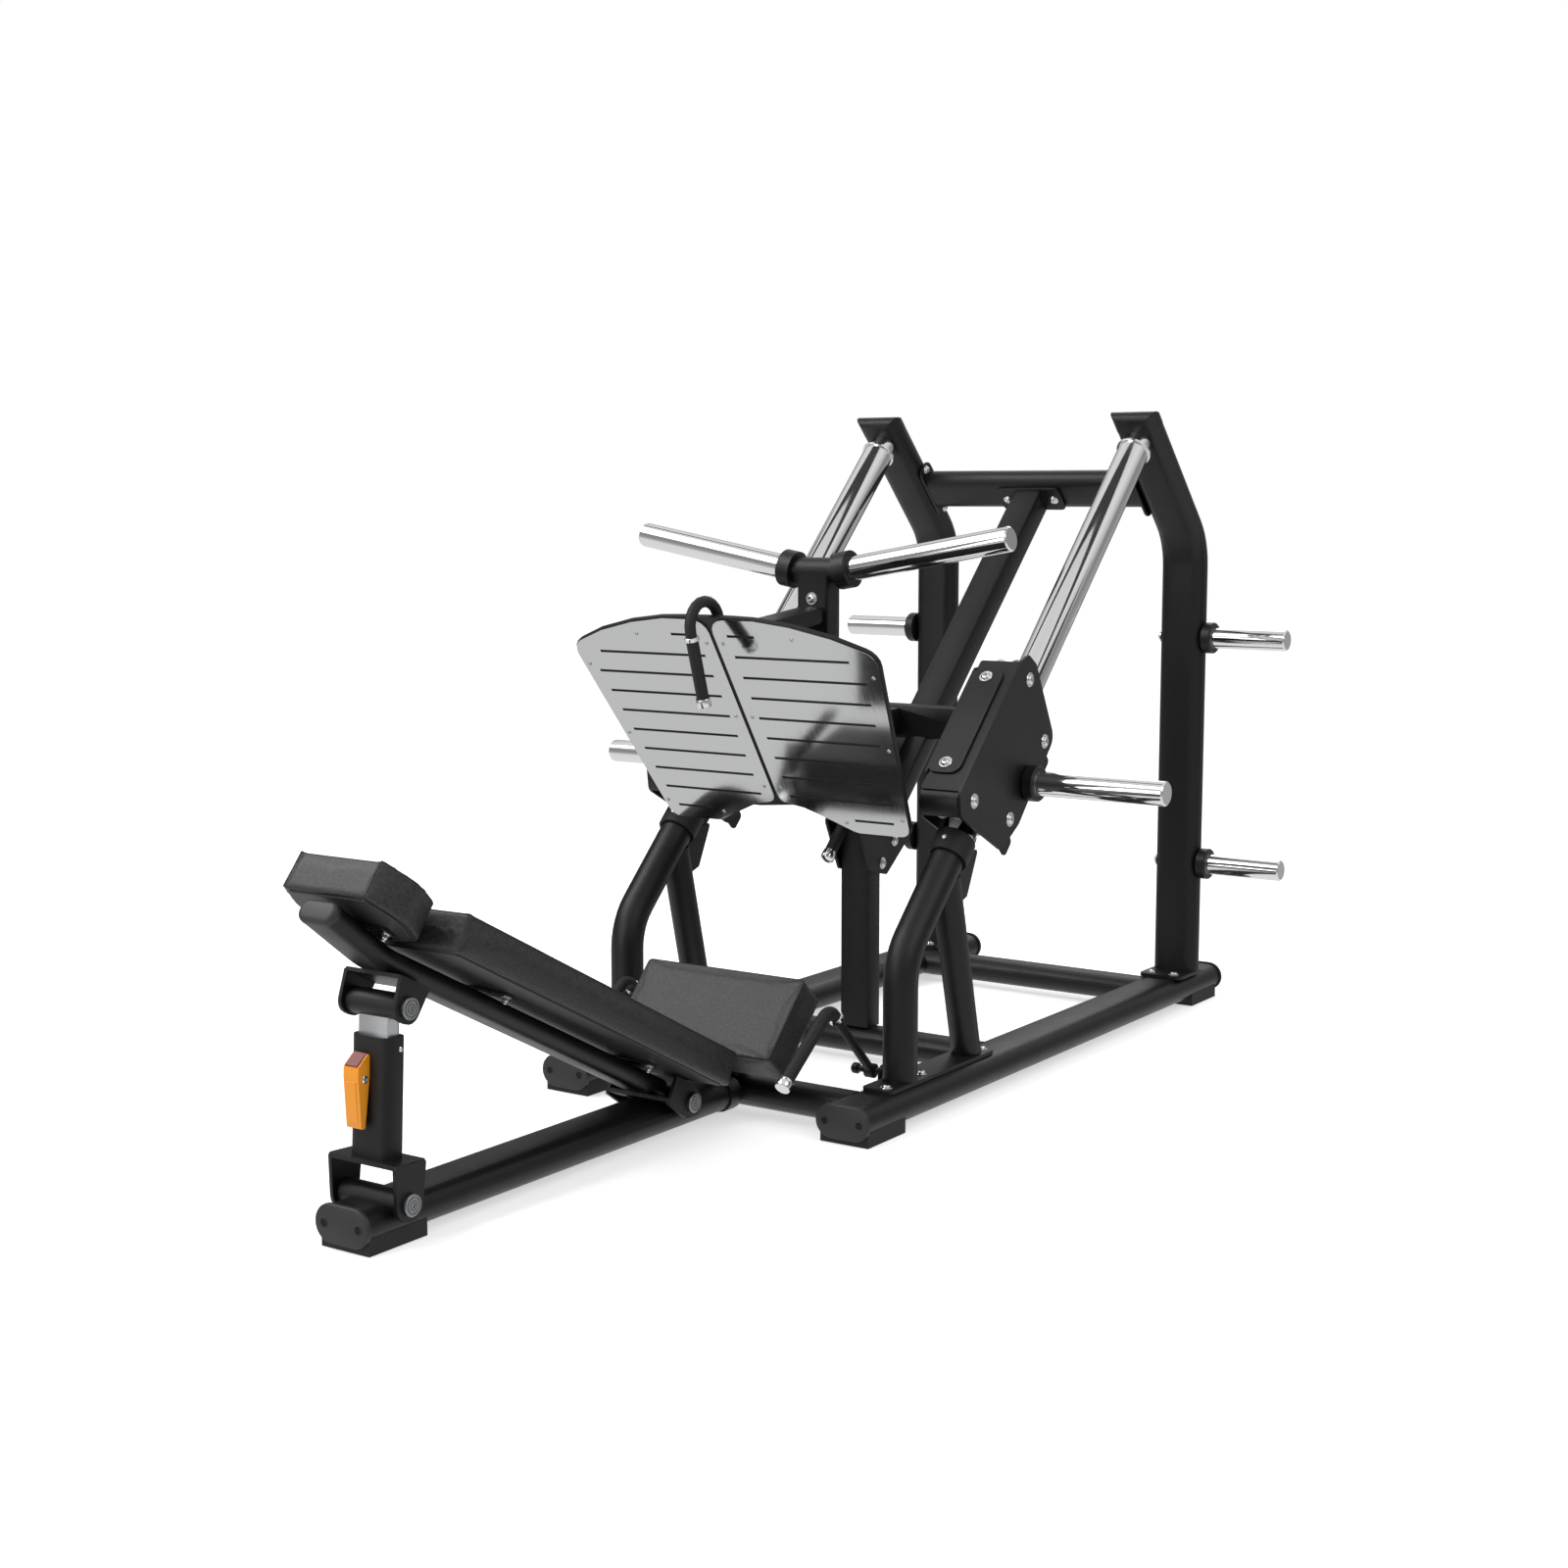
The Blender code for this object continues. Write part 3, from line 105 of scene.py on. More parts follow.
# Hardware and looks, measured on the photo or usual for such parts --------------------
BASE_PLATE = 0.0083
LEG_BOLT_X, LEG_BOLTS_Y = 0.345, (-0.190, -0.060, 0.180)
UPRIGHT_BOLT_Y, UPRIGHT_BOLT_STEP = 1.073, 0.028
CROSS_TUBE_N, CROSS_BOLT_STEP = 0.135, 0.063
END_PLATE = 0.0063
COLLAR_S, COLLAR_WALL = 0.409, 0.0065
CHEEK_X, CHEEK_BOLTS = 0.0423, ((0.281, 0.425), (0.330, 0.468))
FLANGE_S, FLANGE_N, FLANGE_BOLT_X = UPRIGHT_S - 0.025 - 0.0068, 0.130, 0.060
COVER_BOLTS_S, COVER_BOLT_X, COVER_THICK = (0.748, 0.524), 0.3235, 0.0043
MAST_BOLT_Y, MAST_BOLT_Z = TOP_HORN_Y - 0.025, 0.993
BIG_BOLT, SMALL_BOLT = {"washer": 0.0150, "button": 0.0098}, {"washer": 0.0105, "button": 0.0080}
STORAGE_NUT, COVER_BOLT = {"washer": 0.014, "button": 0.010}, {"washer": 0.0140, "button": 0.0095}
PAINT_PROUD = 0.002
TREAD_SCREWS = ((0.0195, -0.023), (0.183, -0.039), (0.336, 0.042), (0.312, 0.216), (0.2855, 0.391),
                (0.150, 0.4105), (0.020, 0.154), (0.0195, 0.332))
CAP_SCREW_X = 0.038
CAP_LIP = 0.003
HOUSING_SHEET = 0.0056
WIPER, WIPER_THICK = (0.042, 0.050, 0.010), 0.006
WIPER_PLACES = ((0.722, 0.208), (0.506, 0.214))
FOOT_COVER_S, FOOT_COVER_RUN, FOOT_COVER_DROP = 0.4600, 0.034, 0.038
HOOK_TIP, HOOK_RING = (-0.2990, 0.8020), (-0.3385, 0.9320)
LEVER_HUB, LEVER_BEND, LEVER_TIP, LEVER_RING = (-0.085, 0.080), (-0.236, 0.232), (-0.396, 0.111), 0.183
STOP_HUB, STOP_TIP = (0.226, 0.546), (0.130, 0.450)
LATCH_INSET = ((0.2378, 0.0272), (0.2412, 0.0290), (0.2226, 0.0506), (0.2190, 0.0490))
LATCH_FACE = ((0.1960, 0.0480), (0.1960, 0.0508), (0.1260, 0.0425), (0.1260, 0.0395))
DISC_RINGS = ((0.0004, 0.0178), (0.0008, 0.0188), (0.0064, 0.0188), (0.0076, 0.0176), (0.0076, 0.0146),
              (0.0060, 0.0140), (0.0060, 0.0132), (0.0076, 0.0126), (0.0076, 0.0086), (0.0062, 0.0080),
              (0.0062, 0.0074), (0.0076, 0.0068), (0.0076, 0.0044), (0.0058, 0.0034))
HEAD_HALF = ((0.0895, -0.0110, 0.006), (0.1185, 0.068, 0.060), (0.0975, 0.1440, 0.045), (0, 0.1600, 0))
HEAD_CORNER = (0.0885, -0.0100)
HEAD_ORIGIN_T = HEAD_TUBE + 0.013
SKIN = 0.001
BOARD_INSET, BOARD_DROP = 0.024, 0.002
TAB, TAB_THICK, TAB_BOLT_X = (0.120, 0.034, 0.008), 0.0048, 0.051
BACK_TABS_T, HEAD_TABS_T = (0.143, 0.585), (0.046,)
SEAM_RADIUS, SEAM_STEP = 0.0009, 0.008
COVER_PRESSURE, COVER_STEPS = 4.0, 20
MERGE_GAP = 0.00002
EDGE_ANGLE = math.radians(38)

# Studio: flags are (name, place, size, turn), lamps (name, place, aim, size, watts) ---
FLOOR_HALF = 14
FLAGS = (("flag_above", (0.2, 0.6, 3.1), (5.0, 0.30), (0, 0, 0)),
         ("flag_left", (-2.6, 0.4, 1.6), (2.6, 2.2), (0, math.radians(90), 0)),
         ("flag_right", (3.4, 1.8, 1.5), (2.6, 0.9), (0, math.radians(90), 0)))
LAMPS = (("key", (-2.4, -2.0, 3.9), (0, 0, 0.5), 2.6, 100),
         ("side", (3.8, -0.6, 2.8), (0, 0, 0.6), 2.0, 22),
         ("rim", (-0.8, 4.0, 3.0), (0, 0, 0.8), 2.4, 30),
         ("front", (-1.2, -4.6, 1.6), (0, -0.8, 0.5), 2.2, 45))
ROOM_GREYS = ((0.30, 0.84), (0.42, 0.42), (0.52, 0.32), (0.62, 0.27), (0.72, 0.60), (0.86, 0.85),
              (1.0, 0.75))
LENS_MM, SENSOR_MM = 52.335, 36
CAMERA_PLACE = (2.563, -3.7752, 1.20)
CAMERA_TILT, CAMERA_TURN = math.radians(82.8), math.radians(34.2)

X, Y, Z = Vector((1, 0, 0)), Vector((0, 1, 0)), Vector((0, 0, 1))
SIDES = (("left", 1), ("right", -1))


# Places -----------------------------------------------------------------------------
def at(x, y, z):
    return Vector((x, y + DATUM_Y, z))


def slope(s, n, x=0.0):
    """A point s up the rails' slope and n square to it."""
    across, up = math.cos(RAIL_PITCH), math.sin(RAIL_PITCH)
    return at(x, s * across - n * up, s * up + n * across)


def back(t, n, x=0.0):
    """A point t along the backrest tube towards the head, n square to it."""
    return at(x, BACK_START[0] - t * math.cos(BACK_SLOPE) + n * math.sin(BACK_SLOPE),
              BACK_START[1] + t * math.sin(BACK_SLOPE) + n * math.cos(BACK_SLOPE))


def head(t, n, x=0.0):
    """A point t along the headrest's steeper tube from its bend, n square to it."""
    return back(HEAD_BEND_T, 0, x) + Vector(
        (0, -t * math.cos(HEAD_SLOPE) + n * math.sin(HEAD_SLOPE),
         t * math.sin(HEAD_SLOPE) + n * math.cos(HEAD_SLOPE)))


def on_strut(length, rear=0.0, x=0.0):
    """A point along the strut from its lower pivot, and square to it towards the rear."""
    across, up = (Vector(CLEVIS_PIVOT) - Vector(STRUT_PIVOT)).normalized()
    return at(x, STRUT_PIVOT[0] + length * across + rear * up,
              STRUT_PIVOT[1] + length * up - rear * across)


def tread(x, down, behind=0.0):
    """A point on the foot plate: x across, down its slope, and behind its tread face."""
    return at(x, PLATE_TOP[0] + down * math.sin(PLATE_LEAN) + behind * math.cos(PLATE_LEAN),
              PLATE_TOP[1] - down * math.cos(PLATE_LEAN) + behind * math.sin(PLATE_LEAN))


UP_SLOPE = slope(1, 0) - slope(0, 0)
OFF_SLOPE = slope(0, 1) - slope(0, 0)
OFF_BACK = back(0, 1) - back(0, 0)
OFF_HEAD = head(0, 1) - head(0, 0)
BEHIND_PLATE = tread(0, 0, 1) - tread(0, 0, 0)


# Materials --------------------------------------------------------------------------
def link(tree, source, output, target, socket):
    tree.links.new(source.outputs[output], target.inputs[socket])


def add(tree, kind, **settings):
    """A node with some of its inputs set by name."""
    node = tree.nodes.new(kind)
    for key, value in settings.items():
        node.inputs[key.replace("_", " ")].default_value = value
    return node


def finish(name, colour, roughness, metallic=0.0, coat=0.0, specular=0.5,
           bump=None, mottle=None, smear=None):
    """A material from the object's own coordinates.

    bump is (scale, strength, depth), mottle (scale, lighter colour, share) and smear
    (scale, lowest roughness, highest roughness); each drives one noise.
    """
    made = bpy.data.materials.new(name)
    made.use_nodes = True
    tree = made.node_tree
    shader = tree.nodes["Principled BSDF"]
    shader.inputs["Base Color"].default_value = (*colour, 1)
    shader.inputs["Roughness"].default_value = roughness
    shader.inputs["Metallic"].default_value = metallic
    shader.inputs["Coat Weight"].default_value = coat
    shader.inputs["Specular IOR Level"].default_value = specular
    place = tree.nodes.new("ShaderNodeTexCoord")
    if bump:
        noise = add(tree, "ShaderNodeTexNoise", Scale=bump[0], Detail=3.0, Roughness=0.55)
        link(tree, place, "Object", noise, "Vector")
        ridge = add(tree, "ShaderNodeBump", Strength=bump[1], Distance=bump[2])
        link(tree, noise, "Fac", ridge, "Height")
        link(tree, ridge, "Normal", shader, "Normal")
    if mottle:
        patches = add(tree, "ShaderNodeTexNoise", Scale=mottle[0], Detail=5.0, Roughness=0.65)
        link(tree, place, "Object", patches, "Vector")
        ramp = tree.nodes.new("ShaderNodeValToRGB")
        ramp.color_ramp.elements[0].position = 0.5 - mottle[2] / 2
        ramp.color_ramp.elements[1].position = 0.5 + mottle[2]
        ramp.color_ramp.elements[0].color = (*colour, 1)
        ramp.color_ramp.elements[1].color = (*mottle[1], 1)
        link(tree, patches, "Fac", ramp, "Fac")
        link(tree, ramp, "Color", shader, "Base Color")
    if smear:
        wipes = add(tree, "ShaderNodeTexNoise", Scale=smear[0], Detail=4.0, Roughness=0.6)
        link(tree, place, "Object", wipes, "Vector")
        vary_roughness(tree, wipes, 0.3, 0.7, smear[1], smear[2])
    return made


def vary_roughness(tree, noise, darkest, lightest, low, high):
    """Roughness from low to high where the noise goes from darkest to lightest."""
    spread = tree.nodes.new("ShaderNodeMapRange")
    spread.inputs["From Min"].default_value = darkest
    spread.inputs["From Max"].default_value = lightest
    spread.inputs["To Min"].default_value = low
    spread.inputs["To Max"].default_value = high
    link(tree, noise, "Fac", spread, "Value")
    link(tree, spread, "Result", tree.nodes["Principled BSDF"], "Roughness")


def brushed(name, colour, low, high, squeeze):
    """Polished sheet with faint lines: a noise stretched along one direction."""
    made = finish(name, colour, (low + high) / 2, 1.0)
    tree = made.node_tree
    place = tree.nodes.new("ShaderNodeTexCoord")
    stretch = add(tree, "ShaderNodeMapping", Scale=squeeze)
    link(tree, place, "Object", stretch, "Vector")
    lines = add(tree, "ShaderNodeTexNoise", Scale=1.0, Detail=4.0, Roughness=0.6)
    link(tree, stretch, "Vector", lines, "Vector")
    vary_roughness(tree, lines, 0.35, 0.65, low, high)
    return made


MATERIALS = {
    "black_powder_coat": finish("powder_coat", (0.0075, 0.0075, 0.0080), 0.40, specular=0.36,
                                bump=(1500.0, 0.35, 0.0006), smear=(9.0, 0.36, 0.44)),
    "bright_chrome": finish("chrome", (0.78, 0.78, 0.79), 0.06, 1.0, smear=(14.0, 0.035, 0.085)),
    "polished_steel": brushed("tread_steel", (0.56, 0.57, 0.565), 0.070, 0.115, (900.0, 14.0, 14.0)),
    "turned_steel": finish("turned_steel", (0.30, 0.31, 0.32), 0.34, 1.0, bump=(900.0, 0.12, 0.0004)),
    "satin_grey_steel": finish("satin_steel", (0.62, 0.63, 0.64), 0.30, 1.0, smear=(30.0, 0.26, 0.36)),
    "black_rubber": finish("rubber", (0.014, 0.014, 0.014), 0.58, specular=0.35,
                           bump=(1100.0, 0.25, 0.0006)),
    "grey_vinyl": finish("vinyl", (0.016, 0.0165, 0.017), 0.44, specular=0.42,
                         bump=(620.0, 0.45, 0.0010), mottle=(240.0, (0.048, 0.049, 0.050), 0.22)),
    "roller_nylon": finish("nylon", (0.55, 0.55, 0.52), 0.40, bump=(500.0, 0.1, 0.0005)),
    "orange_plastic": finish("orange", (0.95, 0.35, 0.018), 0.36, coat=0.15, bump=(900.0, 0.08, 0.0004)),
}
RED = finish("red_insert", (0.20, 0.012, 0.010), 0.40, bump=(900.0, 0.08, 0.0004))
BLACK_PLASTIC = finish("cap_plastic", (0.024, 0.024, 0.024), 0.50, bump=(1300.0, 0.2, 0.0004))
STITCH = finish("seam_thread", (0.008, 0.008, 0.008), 0.6, specular=0.3, bump=(900.0, 0.2, 0.0003))
# Near-black finish for the discs that close the end caps' screw openings: painted shade standing in for the
# dark inside of each hole.
HOLE_PAINTED_SHADE = finish("screw_hole_painted_shade", (0.003, 0.003, 0.003), 0.9, bump=(400.0, 0.1, 0.0004))


# Mesh tools -------------------------------------------------------------------------
def soften(thing, width, segments=2):
    """Small round edges where faces meet at a clear angle."""
    join = thing.modifiers.new("join", "WELD")
    join.merge_threshold = MERGE_GAP
    edges = thing.modifiers.new("edges", "BEVEL")
    edges.width = width
    edges.segments = segments
    edges.limit_method = "ANGLE"
    edges.angle_limit = EDGE_ANGLE
    edges.harden_normals = True


def piece(name, mesh_data, material, body, edge=0.0, sharp=35):
    """An object from the mesh data, riding on a CAD body."""
    bmesh.ops.recalc_face_normals(mesh_data, faces=mesh_data.faces)
    mesh = bpy.data.meshes.new(name)
    mesh_data.to_mesh(mesh)
    mesh_data.free()
    mesh.shade_smooth()
    if not edge:
        mesh.set_sharp_from_angle(angle=math.radians(sharp))
    made = bpy.data.objects.new(name, mesh)
    bpy.context.scene.collection.objects.link(made)
    mesh.materials.append(material)
    if edge:
        soften(made, edge)
    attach(made, body)
    return made


def rounded(width, height, radius, steps=5):
    """A rectangle's outline with round corners; a flat oval when they meet."""
    points = []
    for turn, (side, top) in enumerate(((1, 1), (-1, 1), (-1, -1), (1, -1))):
        for step in range(steps + 1):
            angle = math.radians(90 * (turn + step / steps))
            point = Vector((side * (width / 2 - radius) + radius * math.cos(angle),
                            top * (height / 2 - radius) + radius * math.sin(angle)))
            if not points or (point - points[-1]).length > 1e-6:
                points.append(point)
    if (points[0] - points[-1]).length < 1e-6:
        points.pop()
    return points


def circle(radius, sides=24):
    return [Vector((radius * math.cos(math.tau * step / sides),
                    radius * math.sin(math.tau * step / sides))) for step in range(sides)]


def filleted(corners, steps=5):
    """An outline through corners given as (x, y, radius), with the corners rounded."""
    points = []
    for index, (x, y, radius) in enumerate(corners):
        corner = Vector((x, y))
        before = (Vector(corners[index - 1][:2]) - corner).normalized()
        after = (Vector(corners[(index + 1) % len(corners)][:2]) - corner).normalized()
        if not radius:
            points.append(corner)
            continue
        half = before.angle(after) / 2
        centre = corner + (before + after).normalized() * radius / math.sin(half)
        start = corner + before * radius / math.tan(half) - centre
        end = corner + after * radius / math.tan(half) - centre
        sweep_angle = start.angle_signed(end)
        for step in range(steps + 1):
            points.append(centre + Matrix.Rotation(-sweep_angle * step / steps, 2) @ start)
    return points


def bridge(mesh_data, one, two):
    for index in range(len(one)):
        following = (index + 1) % len(one)
        mesh_data.faces.new((one[index], one[following], two[following], two[index]))


def skin(mesh_data, rings, closed=False):
    """Faces from ring to ring, closed round on itself or by a face at each end."""
    for one, two in zip(rings, rings[1:]):
        bridge(mesh_data, one, two)
    if closed:
        bridge(mesh_data, rings[-1], rings[0])
    else:
        mesh_data.faces.new(rings[0])
        mesh_data.faces.new(rings[-1])


def slab(outline, place, depth_from, depth_to, along, mesh_data=None):
    """A plate: outline points placed by place(point), thick along one direction."""
    mesh_data = mesh_data or bmesh.new()
    one = [mesh_data.verts.new(place(point) + along * depth_from) for point in outline]
    two = [mesh_data.verts.new(place(point) + along * depth_to) for point in outline]
    bridge(mesh_data, one, two)
    mesh_data.faces.new(one)
    mesh_data.faces.new(two)
    return mesh_data


def turned(profile, start, along, sides=24, closed=False, mesh_data=None, socket=0):
    """A turned piece: (distance, radius) points spun about the line from start.

    The last socket rings are hexagons, for a key's recess.
    """
    mesh_data = mesh_data or bmesh.new()
    along = along.normalized()
    side = along.orthogonal().normalized()
    up = along.cross(side)
    rings = []
    for index, (distance, radius) in enumerate(profile):
        ring = []
        for step in range(sides):
            angle = math.tau * step / sides
            reach = radius
            if index >= len(profile) - socket:
                reach = radius / math.cos((angle + math.pi / 6) % (math.pi / 3) - math.pi / 6)
            spot = start + along * distance + side * reach * math.cos(angle) + up * reach * math.sin(angle)
            ring.append(mesh_data.verts.new(spot))
        rings.append(ring)
    skin(mesh_data, rings, closed)
    return mesh_data


def tube(name, path, radius, material, body, sides=8, loop=False):
    """A round cord of material along a path, as a mesh."""
    mesh_data = bmesh.new()
    rings = []
    count = len(path)
    for index, spot in enumerate(path):
        before = path[index - 1] if index or loop else spot
        after = path[(index + 1) % count] if index < count - 1 or loop else spot
        along = (after - before).normalized()
        side = along.cross(Z if abs(along.z) < 0.9 else X).normalized()
        up = side.cross(along)
        rings.append([mesh_data.verts.new(spot + side * p.x + up * p.y) for p in circle(radius, sides)])
    skin(mesh_data, rings, loop)
    return piece(name, mesh_data, material, body, sharp=60)


# Finishes of the CAD nodes ------------------------------------------------------------
EDGE = {"black_powder_coat": 0.0009, "bright_chrome": 0.0007, "polished_steel": 0.0,
        "turned_steel": 0.0006, "satin_grey_steel": 0.0010, "black_rubber": 0.0014,
        "grey_vinyl": 0.004, "roller_nylon": 0.0010, "orange_plastic": 0.0022}


def dress(node, slot):
    """The slot's material and softened edges on a CAD node."""
    mesh = node.data
    mesh.materials.clear()
    mesh.materials.append(MATERIALS[slot])
    if "custom_normal" in mesh.attributes:
        mesh.attributes.remove(mesh.attributes["custom_normal"])
    mesh.shade_smooth()
    if EDGE[slot]:
        soften(node, EDGE[slot])
    else:
        mesh.set_sharp_from_angle(angle=math.radians(30))


def blacken(name, y, z, painted):
    """Paint a bare node's faces, told by how far they reach from a line along X."""
    mesh = frame["nodes"][name].data
    mesh.materials.append(MATERIALS["black_powder_coat"])
    axis = at(0, y, z)
    for face in mesh.polygons:
        reach = max(math.hypot(mesh.vertices[v].co.y - axis.y, mesh.vertices[v].co.z - axis.z)
                    for v in face.vertices)
        face.material_index = 1 if painted(reach) else 0


def cad_finishes():
    """Every node's finish; the horns' collars and the bush on the strut rod are painted."""
    for entry in frame["record"]["subparts"]:
        dress(frame["nodes"][entry["node"]], entry["material_slot"])
    for label, _ in SIDES:
        for height, z in zip(("upper", "lower"), STORAGE_Z):
            blacken(f"{label}_{height}_storage_horn", UPRIGHT_Y, z,
                    lambda r: r > STORAGE_RADIUS + PAINT_PROUD)
        blacken(f"{label}_sled_horn", SLED_HORN_Y, SLED_HORN_Z,
                lambda r: r > SLED_HORN_RADIUS + PAINT_PROUD)
    blacken("strut_inner", *CLEVIS_PIVOT, lambda r: r < BUSH_RADIUS + 0.001)


# Bolts and screws ---------------------------------------------------------------------
def bolt(mesh_data, place, along, washer=0.0125, button=0.0085):
    """A button-head bolt with a hexagon socket on a flat washer."""
    profile = ((-0.0010, washer), (0.0016, washer), (0.0022, washer - 0.0006), (0.0022, button),
               (0.0040, button), (0.0058, button * 0.86), (0.0068, button * 0.58),
               (0.0068, button * 0.42), (0.0036, button * 0.40))
    turned(profile, place, along, 24, mesh_data=mesh_data, socket=2)


def screw(mesh_data, place, along, radius=0.0046):
    """A small pan-head screw."""
    profile = ((-0.0008, radius), (0.0007, radius), (0.0016, radius * 0.75), (0.0019, radius * 0.5),
               (0.0008, radius * 0.42))
    turned(profile, place, along, 18, mesh_data=mesh_data, socket=2)


def stud(mesh_data, place, along):
    """A threaded end with its nut, standing on a washer."""
    profile = ((-0.0006, 0.0090), (0.0012, 0.0090), (0.0016, 0.0085), (0.0016, 0.0062), (0.0080, 0.0062),
               (0.0086, 0.0056), (0.0086, 0.0040), (0.0125, 0.0040), (0.0132, 0.0034))
    turned(profile, place, along, 18, mesh_data=mesh_data)


def fasten(name, body, places, kind=bolt, slot="bright_chrome", **sizes):
    """One piece that holds all the bolts or screws of a group."""
    mesh_data = bmesh.new()
    for place, along in places:
        kind(mesh_data, place, along, **sizes)
    return piece(name, mesh_data, MATERIALS[slot], body, sharp=40)


def frame_bolts():
    plate_top = BEAM_TOP + BASE_PLATE
    for label, side in SIDES:
        x = side * SIDE_X
        fasten(f"{label}_leg_base_bolts", "frame",
               [(at(side * LEG_BOLT_X, y, plate_top), Z) for y in LEG_BOLTS_Y])
        fasten(f"{label}_upright_base_bolts", "frame",
               [(at(x + offset, UPRIGHT_BOLT_Y, plate_top), Z)
                for offset in (-UPRIGHT_BOLT_STEP, UPRIGHT_BOLT_STEP)])
        fasten(f"{label}_storage_nuts", "frame",
               [(at(side * INNER_X, UPRIGHT_Y, z), -X * side) for z in STORAGE_Z], **STORAGE_NUT)
        end_x = side * (INNER_X - END_PLATE)
        fasten(f"{label}_cross_tube_bolts", "frame",
               [(slope(UPRIGHT_S, CROSS_TUBE_N + n, end_x), -X * side)
                for n in (-CROSS_BOLT_STEP, CROSS_BOLT_STEP)],
               **SMALL_BOLT)
        fasten(f"{label}_rail_collar_screws", "frame",
               [(slope(COLLAR_S, RAIL_N + face * (RAIL_RADIUS + COLLAR_WALL), x), OFF_SLOPE * face)
                for face in (1, -1)],
               kind=screw, radius=0.0055)
        fasten(f"{label}_post_cheek_bolts", "frame",
               [(at(side * CHEEK_X, y, z), X * side) for y, z in CHEEK_BOLTS])
    fasten("centre_strut_bolts", "frame",
           [(slope(FLANGE_S, FLANGE_N, x), -UP_SLOPE) for x in (-FLANGE_BOLT_X, FLANGE_BOLT_X)],
           washer=0.0115)


def sled_bolts():
    for label, side in SIDES:
        roller_places = [(s, RAIL_N + above * ROLLER_OFFSET) for s, above in ROLLER_PLACES]
        fasten(f"{label}_housing_outer_bolts", "sled",
               [(slope(s, n, side * HOUSING_X[1]), X * side) for s, n in roller_places], **BIG_BOLT)
        fasten(f"{label}_housing_inner_bolts", "sled",
               [(slope(s, n, side * HOUSING_X[0]), -X * side) for s, n in roller_places], **BIG_BOLT)
        fasten(f"{label}_housing_cover_bolts", "sled",
               [(slope(s, HOUSING_FRONT_N + COVER_THICK, side * COVER_BOLT_X), OFF_SLOPE)
                for s in COVER_BOLTS_S],
               **COVER_BOLT)
    fasten("mast_bolt", "sled", [(at(0, MAST_BOLT_Y, MAST_BOLT_Z), -Y)], washer=0.0130)
    places = [(tread(side * x, down), -BEHIND_PLATE) for side in (1, -1) for x, down in TREAD_SCREWS]
    fasten("tread_screws", "sled", places, kind=screw, slot="polished_steel", radius=0.0040)


# Frame hardware -----------------------------------------------------------------------
def end_cap(name, x, y, facing):
    """A plastic cap with a rounded rim and two screw openings over a beam's open end, each opening closed
    by a near-black disc: painted shade for the dark inside of the hole.
    """
    rim, depth = 0.0025, 0.0085
    mesh_data = bmesh.new()
    shape = ((0.0, 0.0), (depth - rim, 0.0), (depth - rim * 0.3, -rim * 0.35), (depth, -rim))
    rings = []
    for reach, inset in shape:
        lip = CAP_LIP + inset
        outline = rounded(BEAM[0] + 2 * lip, BEAM[1] + 2 * lip, BEAM[1] / 2 + lip, 8)
        rings.append([mesh_data.verts.new(at(x + p.x, y + facing * reach, BEAM_Z + p.y)) for p in outline])
    skin(mesh_data, rings)
    piece(name, mesh_data, BLACK_PLASTIC, "frame", sharp=50)
    rims, hole_shade_discs = bmesh.new(), bmesh.new()
    for offset in (-CAP_SCREW_X, CAP_SCREW_X):
        mouth = at(x + offset, y + facing * depth, BEAM_Z)
        turned(((0, 0.0088), (0.0006, 0.0084), (0.0006, 0.0072), (-0.0006, 0.0068), (-0.0006, 0.0055)),
               mouth, Y * facing, 20, closed=True, mesh_data=rims)
        # A near-black disc closes each screw opening: painted shade standing in for the dark inside of the
        # hole.
        turned(((-0.0004, 0.0069), (0.0002, 0.0069)), mouth, Y * facing, 20, mesh_data=hole_shade_discs)
    piece(f"{name}_rims", rims, BLACK_PLASTIC, "frame")
    piece(f"{name}_holes", hole_shade_discs, HOLE_PAINTED_SHADE, "frame")


def top_cap(label, side):
    """The rounded cap on an upright's leaning top, flush with the tube."""
    deep, wide = OVAL[1] / 2 + CAP_PROUD, OVAL[0] / 2 + CAP_PROUD
    level = 1 / math.sin(RAIL_PITCH)
    # (across, along) points of the top's side view: round nose, level middle, round heel.
    nose = [(UPRIGHT_NOSE - deep + UPRIGHT_NOSE * math.cos(a),
             deep - (1 + level) * UPRIGHT_NOSE + UPRIGHT_NOSE * math.sin(a))
            for a in (math.radians(180 - 13.5 * step) for step in range(11))]
    heel = [(deep - UPRIGHT_HEEL + UPRIGHT_HEEL * math.cos(a),
             (1 - level) * UPRIGHT_HEEL - deep + UPRIGHT_HEEL * math.sin(a))
            for a in (math.radians(45 - 9 * step) for step in range(6))]
    between = [tuple(Vector(nose[-1]).lerp(Vector(heel[0]), step / 4)) for step in range(1, 4)]
    profile = nose + between + heel
    middle_y = UPRIGHT_S / math.sin(RAIL_PITCH) - UPRIGHT_TOP_Z
    top = at(side * SIDE_X, middle_y, UPRIGHT_TOP_Z)
    mesh_data = bmesh.new()

    def spot(x, across, along):
        return mesh_data.verts.new(top + X * x + UP_SLOPE * across + OFF_SLOPE * along)

    reach = [wide - deep + math.sqrt(max(deep * deep - across * across, 0)) for across, _ in profile]
    right = [spot(x, *place) for x, place in zip(reach, profile)]
    left = [spot(-x, *place) for x, place in zip(reach, profile)]
    for index in range(len(profile) - 1):
        mesh_data.faces.new((left[index], right[index], right[index + 1], left[index + 1]))
    hem = [spot(x, across, -CAP_DEPTH) for x, (across, _) in zip(reach, profile)]
    hem += [spot(-x, across, -CAP_DEPTH) for x, (across, _) in reversed(list(zip(reach, profile)))]
    bridge(mesh_data, right + left[::-1], hem)
    mesh_data.faces.new(hem)
    piece(f"{label}_upright_cap", mesh_data, MATERIALS["black_powder_coat"], "frame",
          edge=0.0022)


